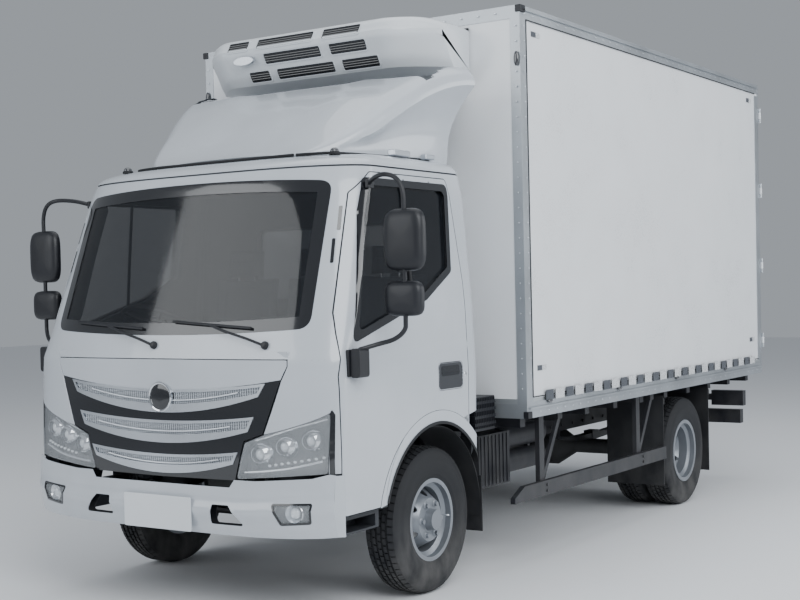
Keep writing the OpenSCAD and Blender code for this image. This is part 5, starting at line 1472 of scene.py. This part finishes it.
# ---------------------------------------------------------------- top of the cab
@dataclass
class Top:
    """Wind deflector on the cab and cooling unit on the box."""

    front: float = -2.400
    back: float = -1.400
    seat: float = 2.291

    def ring(self, t: float, deep: float) -> list[Vector]:
        """Outline of the deflector across, at a share of its length."""
        y = self.front + (self.back - self.front) * t + deep * (1 - t)
        top = max(self.seat + .006, 2.325 + .520 * math.sin(t * math.pi / 2) ** 1.25 - deep)
        foot = .480 + .310 * t ** .2 - deep
        shoulder = .450 + .535 * t ** .55 - deep
        r = min(.110, .42 * (top - self.seat))
        half = []
        for k in range(9):
            q = k / 8
            waist = .055 * math.sin(math.pi * q) * min(1.0, t * 2.2)
            half.append((foot + (shoulder - foot) * (.25 + .75 * q) * q ** .4 - waist,
                         self.seat + (top - .012 - r - self.seat) * q))
        half += [(shoulder - r + r * math.cos(a),
                  top - r + r * math.sin(a) - .012) for a in (math.pi / 16 * k for k in range(1, 9))]
        dish = .016 * math.sin(math.pi * t)
        for q in (.8, .6, .4, .2, 0.0):
            x = (shoulder - r) * q
            half.append((x,
                         top - .012 + .011 * (1 - q * q)
                         + dish * (math.exp(-((q - .62) / .12) ** 2) * .6 - .3 * (q < .5))))
        pts = half + [(-x, z) for x, z in reversed(half[:-1])]
        return [flat((x, y, z)) for x, z in pts]

    def build(self) -> None:
        """Make the deflector and the unit."""
        n = 36
        notch_y, low, half = F.box_front - .536, F.box_top - .526, .866
        shell = Solid()
        outer = [self.ring(i / n, 0.0) for i in range(n + 1)]
        inner = [self.ring(i / n, .008) for i in range(n + 1)]
        rings = outer + list(reversed(inner))
        m = len(outer[0])
        faces: list[Face] = []
        count = len(rings)
        for k in range(count):
            a, b = k * m, ((k + 1) % count) * m
            for i in range(m - 1):
                mid = (rings[k][i] + rings[k][i + 1] + rings[(k + 1) % count][i]) / 3
                if not (mid.y > notch_y and mid.z > low and abs(mid.x) < half):
                    faces.append((a + i, a + i + 1, b + i + 1, b + i))
        shell.faces([p for r in rings for p in r], faces)
        bmesh.ops.remove_doubles(shell.bm, verts=shell.bm.verts, dist=1e-5)
        bmesh.ops.recalc_face_normals(shell.bm, faces=shell.bm.faces)
        shell.piece("deflector_skin", PAINT, "cab", ["wind_deflector"], smooth=45)
        foot, lamp = Solid(), Solid()
        for s in (1, -1):
            foot.tube([(s * (.480 + .31 * t ** .2 + .004), self.front + (self.back - .1 - self.front) * t,
                        F.roof_top + .004) for t in (0, .05, .12, .25, .45, .7, .9)], .008, 8)
            lamp.box((s * .82 - .022, -2.02, F.roof_top + .002), (s * .82 + .022, -1.86, F.roof_top + .034))
            lamp.box((s * .82 - .018, -1.70, F.roof_top + .002), (s * .82 + .018, -1.60, F.roof_top + .030))
        foot.tube([(x, self.front - .006, F.roof_top + .004) for x in (-.47, -.2, 0, .2, .47)], .008, 8)
        foot.piece("deflector_seal", RUBBER, "cab")
        lamp.piece("deflector_feet", SATIN, "cab", bevel=.006)
        self.unit()

    def unit(self) -> None:
        """Cooling unit: rounded hood, leaning face with three rows of slots, blank plate."""
        half, low, top = .830, F.box_top - .340, F.box_top - .062
        nose, back = F.box_front - .498, F.box_front - .0125
        body, dark, trim = Solid(), Solid(), Solid()
        def shape(w: float, y: float, cut: float) -> float:
            """Depth of the face across, swept back to the sides."""
            return y + .23 * max(0.0, (w - .55) / .28) ** 1.6 + cut
        profile = [(nose + .078, low + .004), (nose + .040, low + .05), (nose - .002, low + .12),
                   (nose - .040, low + .172), (nose - .046, low + .200),
                   (nose - .036, top - .062), (nose - .022, top - .030), (nose + .012, top - .008),
                   (nose + .05, top - .001),
                   (nose + .20, top - .003), (back, top - .020)]
        fine: list[Point2] = []
        for (y0, z0), (y1, z1) in zip(profile, profile[1:]):
            fine += [(y0 + (y1 - y0) * k / 3, z0 + (z1 - z0) * k / 3) for k in range(3)]
        fine.append(profile[-1])
        xs = [half * math.sin(math.pi / 2 * k / 26) for k in range(-26, 27)]
        def at(x: float, i: int) -> Vector:
            """Place on the hood."""
            y, z = fine[i]
            t = abs(x) / half
            drop = .040 * max(0.0, (t - .80) / .20) ** 2.5 * (1 if z > low + .20 else 0)
            return flat((x, min(back, shape(abs(x), y, 0.0)), z - drop))
        grid = [[at(x, i) for i in range(len(fine))] for x in xs]
        loops = [col + [flat((col[0].x, back, top - .03)),
                        flat((col[0].x, back, low + .004))] for col in grid]
        body.rings(loops)
        bays = ((-.519, -.369), (-.303, .101), (.170, .424)), ((-.266, .137), (.205, .451)), ((-.417, -.269),
            (-.212, .195), (.255, .499))
        heights = (low + .222, low + .134, low + .046)
        body.piece("unit_hood", FOIL, "chassis", ["cooling_unit"], smooth=38)
        slats = Solid()
        for row, z in zip(bays, heights):
            for x0, x1 in row:
                loop = rounded([(x0, z - .027), (x1, z - .027), (x1 + .006, z + .027),
                                (x0 + .006, z + .027)], .010)
                def face(x: float, zz: float, deep: float) -> Vector:
                    """Face of the hood behind a slot."""
                    i = min(range(len(fine)),
                            key=lambda q: abs(fine[q][1] - zz) if fine[q][0] < nose + .09 else 9)
                    j = i + 1 if zz > fine[i][1] else max(0, i - 1)
                    (ya, za), (yb, zb) = fine[i], fine[j]
                    y = ya + (yb - ya) * ((zz - za) / (zb - za) if abs(zb - za) > 1e-6 else 0)
                    return flat((x, shape(abs(x), y, 0.0) + deep, zz))
                sheet(dark, [loop], face, -.0012, .002, .02)
                sheet(trim, [grow(loop, .007), loop], face, -.005, .001, .02)
                for k in range(3):
                    zc = z - .012 + k * .012
                    slats.box(face(x0 + .004, zc, -.0035) - flat((0, .0005, .0018)),
                              face(x1 - .002, zc, -.0015) + flat((0, 0, .0018)))
        dark.piece("unit_slots", PLASTIC, "chassis")
        trim.piece("unit_slot_rims", FOIL, "chassis", bevel=.0015)
        slats.piece("unit_slats", GLOSS, "chassis")
        plate = Solid()
        pts = [(-.40 + .075 * math.cos(a),
                heights[1] + .026 * math.sin(a)) for a in (math.tau * k / 32 for k in range(32))]
        plate.prism(pts, 1, nose - .049, nose - .030)
        plate.piece("unit_blank_plate", SATIN, "chassis", bevel=.002)
        spots = [((s * half * .99, nose + .32 + k * .045, top - .07), (s, 0, 0)) for s in (1,
            -1) for k in range(4)]
        spots += [((x, nose + .10, top - .001), (0, 0, 1)) for x in (-.6, -.2, .2, .6)]
        scatter("unit_screws", spots, Shape.ROUND, SATIN, "chassis", .008, .003)


# ---------------------------------------------------------------- load box
@dataclass
class Box:
    """Trim, rivets, tape, lamps, locks and seals of the load box."""

    def build(self) -> None:
        """Dress the panels and make everything fixed to them."""
        dress(PANEL, "box_roof", "box_front_wall", "box_wall_left", "box_wall_right")
        dress(FLOORING, "box_floor")
        dress(EDGE, "box_frame")
        dress(PANEL, "rear_door_left", "rear_door_right")
        self.trim()
        self.tape()
        self.rear()

    def trim(self) -> None:
        """Seals, folded rails, caps, rivets and marker lamps."""
        x, y0, y1 = F.box_half, F.box_front - .012, F.box_rear
        seal, cap, lamp, rail = Solid(), Solid(), Solid(), Solid()
        for s in (1, -1):
            for z in (F.box_low + .1085, F.box_top - .0765):
                seal.box((s * (x - .0095), y0 + .082, z - .003), (s * (x - .0065), y1 - .09, z + .003))
            seal.box((s * (x - .0095), y0 + .081, F.box_low + .11),
                     (s * (x - .0065), y0 + .087, F.box_top - .078))
            rail.box((s * (x - .0005), y0 + .03, F.box_low + .040),
                     (s * (x + .0035), y1 - .03, F.box_low + .052))
            rail.box((s * (x - .0005), y0 + .03, F.box_top - .030),
                     (s * (x + .0030), y1 - .03, F.box_top - .022))
            cap.box((s * (x - .034), y0 - .0025, F.box_top - .040),
                    (s * (x + .003), y0 + .060, F.box_top - .0005))
            cap.box((s * (x - .030), y0 - .0025, F.box_low - .009),
                    (s * (x + .003), y0 + .050, F.box_low + .03))
            lamp.ball((s * (x - .030), y0 - .002, F.box_top - .30), (.016, .010, .042), 12)
            for y in (-.9, .1, 1.1, 2.1):
                lamp.ball((s * (x + .001), y, F.box_low + .072), (.006, .030, .012), 10)
        seal.piece("panel_seals", RUBBER, "chassis")
        rail.piece("rail_ribs", EDGE, "chassis", bevel=.001)
        cap.piece("corner_caps", PLASTIC, "chassis", bevel=.004)
        lamp.piece("marker_lamps", LAMP_DARK, "chassis")
        spots = []
        for s in (1, -1):
            n = 38
            for k in range(n + 1):
                y = y0 + .05 + (y1 - y0 - .1) * k / n
                spots += [((s * x, y, F.box_low + .022), (s, 0, 0)),
                          ((s * x, y, F.box_top - .050), (s, 0, 0))]
            for k in range(25):
                z = F.box_low + .16 + k * .085
                spots += [((s * x, y0 + .045, z), (s, 0, 0)), ((s * (x - .035), y0, z), (0, -1, 0))]
        for k in range(19):
            spots.append(((-1.0 + k * 2 / 18, y0, F.box_top - .035), (0, -1, 0)))
        scatter("box_rivets", spots, Shape.ROUND, SATIN, "chassis", .0055, .0028)

    def tape(self) -> None:
        """Reflecting marks along the bottom rail and at the upper corners."""
        light, dark = Solid(), Solid()
        x = F.box_half - .0125
        y, k = -.952, 0
        while y < 2.70:
            long = (.095, .115)[k % 2]
            for s in (1, -1):
                (light if k % 2 else dark).box((s * (F.box_half - .002), y, .946),
                                               (s * (F.box_half + .0008), y + long, 1.004))
            y += long + (.030 if k % 2 else .028)
            k += 1
        for s in (1, -1):
            for z in (F.box_top - .16, 1.12):
                for j in range(2):
                    (light if j else dark).box((s * (x - .001), 2.70 + j * .055, z),
                                               (s * (x + .0016), 2.755 + j * .055, z + .032))
                    (light if j else dark).box((s * (x - .001), -1.03 + j * .055, z),
                                               (s * (x + .0016), -.975 + j * .055, z + .03))
        light.piece("tape_light", TAPE_LIGHT, "chassis")
        dark.piece("tape_dark", TAPE_DARK, "chassis")

    def rear(self) -> None:
        """Door seals, lock bars' handles and feet, tail lamps and buffers."""
        y = F.box_rear
        for s, body in ((1, "rear_door_left"), (-1, "rear_door_right")):
            seal, bars = Solid(), Solid()
            x0, x1 = .006, 1.062
            z0, z1 = 1.012, 3.060
            for a, b in (((x0, z0), (x1, z0 + .014)), ((x0, z1 - .014), (x1, z1)),
                         ((x0, z0), (x0 + .012, z1)), ((x1 - .012, z0), (x1, z1))):
                seal.box((s * a[0], y - .006, a[1]), (s * b[0], y + .0015, b[1]))
            seal.piece(f"{body}_seal", RUBBER, body, bevel=.002)
            for x in (.36, .785):
                bars.tube([(s * x, y + .004, 1.44), (s * (x + .02), y + .006, 1.50),
                           (s * (x + .10), y + .006, 1.515), (s * (x + .22), y + .006, 1.515)], .0055, 8)
                bars.box((s * (x + .18), y - .001, 1.49), (s * (x + .20), y + .008, 1.54))
            bars.piece(f"{body}_handles", SATIN, body, bevel=.001)
            spots = [((s * (.86 + .05 * i), y + .004, z + dz), (0, 1, 0)) for i in range(3) for z in (1.16,
                1.74, 2.32, 2.90) for dz in (-.014, .014)]
            scatter(f"{body}_bolts", spots, Shape.HEX, SATIN, body, .006, .004)
            tape = Solid()
            for k in range(6):
                tape.box((s * (.10 + k * .15), y + .0002, 1.06), (s * (.17 + k * .15), y + .0016, 1.10))
            tape.piece(f"{body}_tape", TAPE_LIGHT, body)
        lamps, case, plate = Solid(), Solid(), Solid()
        yb = 2.8875 + .03
        for s in (1, -1):
            case.box((s * .62, yb - .001, .462), (s * .96, yb + .018, .552))
            for x, r in ((.67, .034), (.755, .034), (.84, .034), (.915, .028)):
                lamps.spin([(r, 0), (r, .006), (r * .8, .011), (.001, .013), (.001, 0)],
                           (s * x, yb + .017, .507), (0, 1, 0), 32, False)
            case.box((s * .70, y + .0005, .885), (s * .78, y + .006, .955))
        case.piece("tail_lamp_cases", PLASTIC, "chassis", bevel=.004)
        lamps.piece("tail_lamps", LAMP_DARK, "chassis")
        plate.box((-.22, yb, .468), (.22, yb + .004, .548))
        plate.piece("rear_blank_plate", FOIL, "chassis", bevel=.002)
        slat = Solid().box((-1.03, -.010, 0), (1.03, .010, .006))
        around(slat, "floor_slats", (0, -1.02, .9744), 48, FLOORING, "chassis", step=(0, .081, 0))


# ---------------------------------------------------------------- below
@dataclass
class Under:
    """Chassis parts and the fittings on them."""

    def build(self) -> None:
        """Dress the frame's parts and add bolts, straps, hoses and ribs."""
        dress(FRAME, "chassis_frame", "box_bearers", "front_axle", "leaf_springs", "side_guards",
              "underrun_bar", "battery_box",
              "knuckle_left", "knuckle_right", "tie_rod")
        dress(CAST, "engine_block", "rear_axle", "drive_shaft")
        dress(PIPE, "exhaust")
        dress(TANK, "fuel_tank")
        dress(RUBBER, "mudguards")
        dress(PLASTIC, "air_intake")
        dress(PAINT, "cab_front")
        dress(TRIM, "cab_side_left", "cab_side_right", "cab_rear_wall", "cab_roof", "dashboard", "cab_floor",
              "door_left", "door_right")
        dress(PLASTIC, "front_panel")
        spots = []
        for s in (1, -1):
            for k in range(28):
                y = -2.2 + k * .18
                spots += [((s * .3755, y, .60), (s, 0, 0)), ((s * .3755, y + .02, .72), (s, 0, 0))]
        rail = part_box("chassis_frame")[1][0]
        spots = [((math.copysign(float(rail), p[0]), p[1], p[2]), w) for p, w in spots]
        scatter("rail_bolts", spots, Shape.HEX, SATIN_DARK, "chassis", .011, .008)
        guard = [((s * 1.118, y, z), (s, 0, 0)) for s in (1, -1) for y in (-.88, .56) for z in (.41, .445)]
        scatter("guard_bolts", guard, Shape.HEX, SATIN_DARK, "chassis", .010, .006)
        self.extras()

    def extras(self) -> None:
        """Battery cover ribs, tank straps and cap, air hoses, duct ribs."""
        bx1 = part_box("battery_box")[1][0]
        rib = Solid().box((bx1 - .002, -.006, .44), (bx1 + .005, .006, .73))
        around(rib, "battery_ribs", (0, -1.115, 0), 8, FRAME, "chassis", step=(0, .045, 0))
        tx0, ty0, tz0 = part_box("fuel_tank")[0]
        straps, cap = Solid(), Solid()
        for y in (ty0 + .125, ty0 + .565):
            x0, x1, z0, z1 = tx0 - .003, tx0 + .42 + .003, tz0 - .003, tz0 + .36 + .003
            loop = rounded([(x0, z0), (x1, z0), (x1, z1), (x0, z1)], .063, 8)
            inner = grow(loop, -.0028)
            rings = [[flat((x, yy, z)) for x, z in lp] for lp,
                     yy in ((loop, y - .02), (loop, y + .02), (inner, y + .02), (inner, y - .02))]
            straps.rings(rings, caps=False, closed=True)
        straps.piece("tank_straps", SATIN, "chassis", bevel=.001)
        cap.spin([(.042, -.01), (.042, .018), (.036, .026), (.001, .026), (.001, -.01)],
                 (tx0 + .07, ty0 + .09, tz0 + .355), (0, 0, 1), 32, False)
        cap.piece("tank_cap", PLASTIC, "chassis")
        hose = Solid()
        for s in (1, -1):
            for k in range(2):
                hose.tube([(s * .33, -1.55, .60 + k * .03), (s * .345, -1.2, .63 + k * .03),
                           (s * .35, -.4, .62 + k * .03), (s * .35, .5, .63 + k * .03), (s * .34, 1.2, .65)],
                           .008, 8)
        hose.piece("air_lines", RUBBER, "chassis")
        fins = Solid().box((.612, 0, .815), (.968, .004, .985))
        y0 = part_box("air_intake")[0][1]
        around(fins, "duct_ribs", (0, float(y0) + .012, 0), 12, PLASTIC, "chassis", step=(0, .019, 0))


SATIN_DARK = Finish("bolt_dark", "chassis_paint", (0.06, 0.062, 0.066), 0.4, 0.7, vary=0.2, grain=300,
                    dirt=0.3)


@dataclass
class Wheel:
    """Tyres with tread on one hub, and the nut washers and valve of its rim."""

    name: str
    body: str
    centres: tuple[float, ...]
    axle_y: float
    face_x: float
    tyre_node: str
    rim_node: str
    nut_r: float = .105
    width: float = .205

    def build(self) -> None:
        """Make the tyres' carcass, tread blocks and rim details."""
        dress(WHEEL, self.rim_node)
        radius, lip, w = .3875, .2045, self.width / 2
        side = 1 if self.centres[0] > 0 else -1
        carcass = Solid()
        profile = [(lip, -w + .028), (lip + .006, -w + .018), (lip + .03, -w + .012),
                   (lip + .034, -w + .009), (lip + .040, -w + .009), (lip + .06, -w + .003),
                   (lip + .095, -w), (radius - .07, -w + .0005), (radius - .066, -w + .003),
                   (radius - .045, -w + .005), (radius - .022, -w + .012),
                   (radius - .012, -w + .022)]
        tread = [(radius - .008, -w + .038)]
        for k in (-.045, -.015, .015, .045):
            tread += [(radius - .0105, k - .006), (radius - .0125, k - .004), (radius - .0125, k + .004),
                      (radius - .0105, k + .006)]
        profile += tread + [(r, -d) for r, d in reversed(profile)]
        profile += [(lip, w - .048), (lip + .034, w - .04), (radius - .03, w - .04), (radius - .024, 0),
                    (radius - .03, -w + .04), (lip + .034, -w + .04), (lip, -w + .048)]
        for x in self.centres:
            carcass.spin(profile, (x, self.axle_y, F.axle_z), (1, 0, 0), 72)
        carcass.piece(f"{self.name}_carcass", TYRE, self.body, [self.tyre_node], smooth=40)
        blocks = Solid()
        top, low = radius - .0004, radius - .013
        for x in self.centres:
            for x0, x1, shift in ((-w + .020, -.053, 0.0), (-.039, -.021, .5), (-.009, .009, 0.0),
                                  (.021, .039, .5), (.053, w - .020, 0.0)):
                a0 = math.tau / 60 * (shift - .40)
                a1 = a0 + math.tau / 60 * .80
                drop = .010 if abs(x0 + x1) > .1 else 0.0
                ring = []
                for r in (low, top):
                    for xx, aa in ((x0, a0), (x1, a0 + .006), (x1, a1 + .006), (x0, a1)):
                        far = abs(xx) > .075
                        rr = r - (drop if far and r == top else 0)
                        ring.append(flat((x + xx, -math.sin(aa) * rr, math.cos(aa) * rr)))
                blocks.faces(ring, [(0, 3, 2, 1), (4, 5, 6, 7), (0, 1, 5, 4), (1, 2, 6, 5), (2, 3, 7, 6),
                                    (3, 0, 4, 7)])
        around(blocks, f"{self.name}_tread", (0, self.axle_y, F.axle_z), 60, TYRE, self.body)
        nuts = []
        for k in range(6):
            a = math.tau * (k + .5) / 6
            p = (self.face_x, self.axle_y + math.sin(a) * self.nut_r, F.axle_z + math.cos(a) * self.nut_r)
            nuts.append((p, (side, 0, 0)))
        scatter(f"{self.name}_washers", [((p[0] + side * .001, p[1], p[2]), w_) for p, w_ in nuts],
                Shape.ROUND, WHEEL, self.body, .021, .006)
        valve = Solid()
        out = self.face_x
        valve.tube([(out - side * .02, self.axle_y + .15, F.axle_z),
                    (out + side * .006, self.axle_y + .155, F.axle_z),
                    (out + side * .02, self.axle_y + .163, F.axle_z)], .0045, 8)
        valve.piece(f"{self.name}_valve", SATIN, self.body)


# Name, place, size in metres, power in watts and the place it faces
AREA_LIGHTS = (("key", (8, -7, 7), 7, 900, (0, 0, 1.4)), ("side", (9, 3, 4), 6, 420, (0, 0, 1.5)),
               ("front", (-4, -10, 5), 6, 330, (0, -1, 1.4)), ("top", (0, 0, 9), 8, 300, (0, 0, 0)))
WORLD_COLOUR, WORLD_STRENGTH = (0.80, 0.86, 0.93, 1), 0.42
VIEW_SPOT = (4.677, -8.034, 1.607)
VIEW_TURN = (34.935, -1.525, -1.37)  # heading, pitch and roll in degrees
SENSOR_MM, LENS_MM, LENS_SHIFT = 36.0, 61.1532, (0.073375, 0.033)


def camera_and_light() -> None:
    """Floor, soft lights and the camera."""
    floor = Solid().box((-30, -30, -.05), (30, 30, 0))
    bmesh.ops.recalc_face_normals(floor.bm, faces=floor.bm.faces)
    mesh = bpy.data.meshes.new("floor")
    floor.bm.to_mesh(mesh)
    obj = bpy.data.objects.new("floor", mesh)
    bpy.context.scene.collection.objects.link(obj)
    mesh.materials.append(Finish("floor_pale", "box_panel", (0.80, 0.81, 0.83), 0.85, vary=0.0,
                                 depth=0.00001).material())
    world = bpy.data.worlds.new("studio")
    bpy.context.scene.world = world
    world.use_nodes = True
    world.node_tree.nodes["Background"].inputs[0].default_value = WORLD_COLOUR
    world.node_tree.nodes["Background"].inputs[1].default_value = WORLD_STRENGTH
    for name, spot, size, power, aim in AREA_LIGHTS:
        data = bpy.data.lights.new(name, "AREA")
        data.size, data.energy, data.color = size, power, (0.95, 0.98, 1.0)
        lamp = bpy.data.objects.new(name, data)
        lamp.location = spot
        lamp.rotation_euler = (flat(aim) - flat(spot)).to_track_quat("-Z", "Y").to_euler()
        bpy.context.scene.collection.objects.link(lamp)
    yaw, pitch, roll = (math.radians(a) for a in VIEW_TURN)
    way = flat((-math.sin(yaw) * math.cos(pitch), math.cos(yaw) * math.cos(pitch), math.sin(pitch)))
    right = flat((math.cos(yaw), math.sin(yaw), 0))
    up = right.cross(way)
    r2 = right * math.cos(roll) + up * math.sin(roll)
    u2 = -right * math.sin(roll) + up * math.cos(roll)
    data = bpy.data.cameras.new("view")
    cam = bpy.data.objects.new("view", data)
    cam.matrix_world = Matrix([(r2[i], u2[i], -way[i], VIEW_SPOT[i]) for i in range(3)] + [(0, 0, 0, 1)])
    data.sensor_width, data.lens = SENSOR_MM, LENS_MM
    data.shift_x, data.shift_y = LENS_SHIFT
    bpy.context.scene.collection.objects.link(cam)
    bpy.context.scene.camera = cam


def main() -> None:
    """Build the truck's pieces in order."""
    logging.basicConfig(level=logging.INFO, format="%(message)s")
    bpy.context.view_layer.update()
    camera_and_light()
    Cab().build()
    FrontPanel().build()
    Door(1).build()
    Door(-1).build()
    Inside().build()
    Top().build()
    Box().build()
    Under().build()
    front_x = (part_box("tyre_front_left")[0][0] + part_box("tyre_front_left")[1][0]) / 2
    lo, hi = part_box("tyres_rear_left")
    outer, inner = float(hi[0]) - .1025, float(lo[0]) + .1025
    middle = (outer + inner) / 2
    for side, tag in ((1, "left"), (-1, "right")):
        Wheel(f"wheel_front_{tag}", f"wheel_front_{tag}", (side * float(front_x),), F.front_axle,
              side * (float(front_x) + .074), f"tyre_front_{tag}",
              f"rim_front_{tag}", nut_r=.090).build()
        Wheel(f"wheels_rear_{tag}", f"wheels_rear_{tag}", (side * outer, side * inner), F.rear_axle,
              side * (middle + .002), f"tyres_rear_{tag}",
              f"rims_rear_{tag}", nut_r=.096).build()


if __name__ == "__main__":
    main()
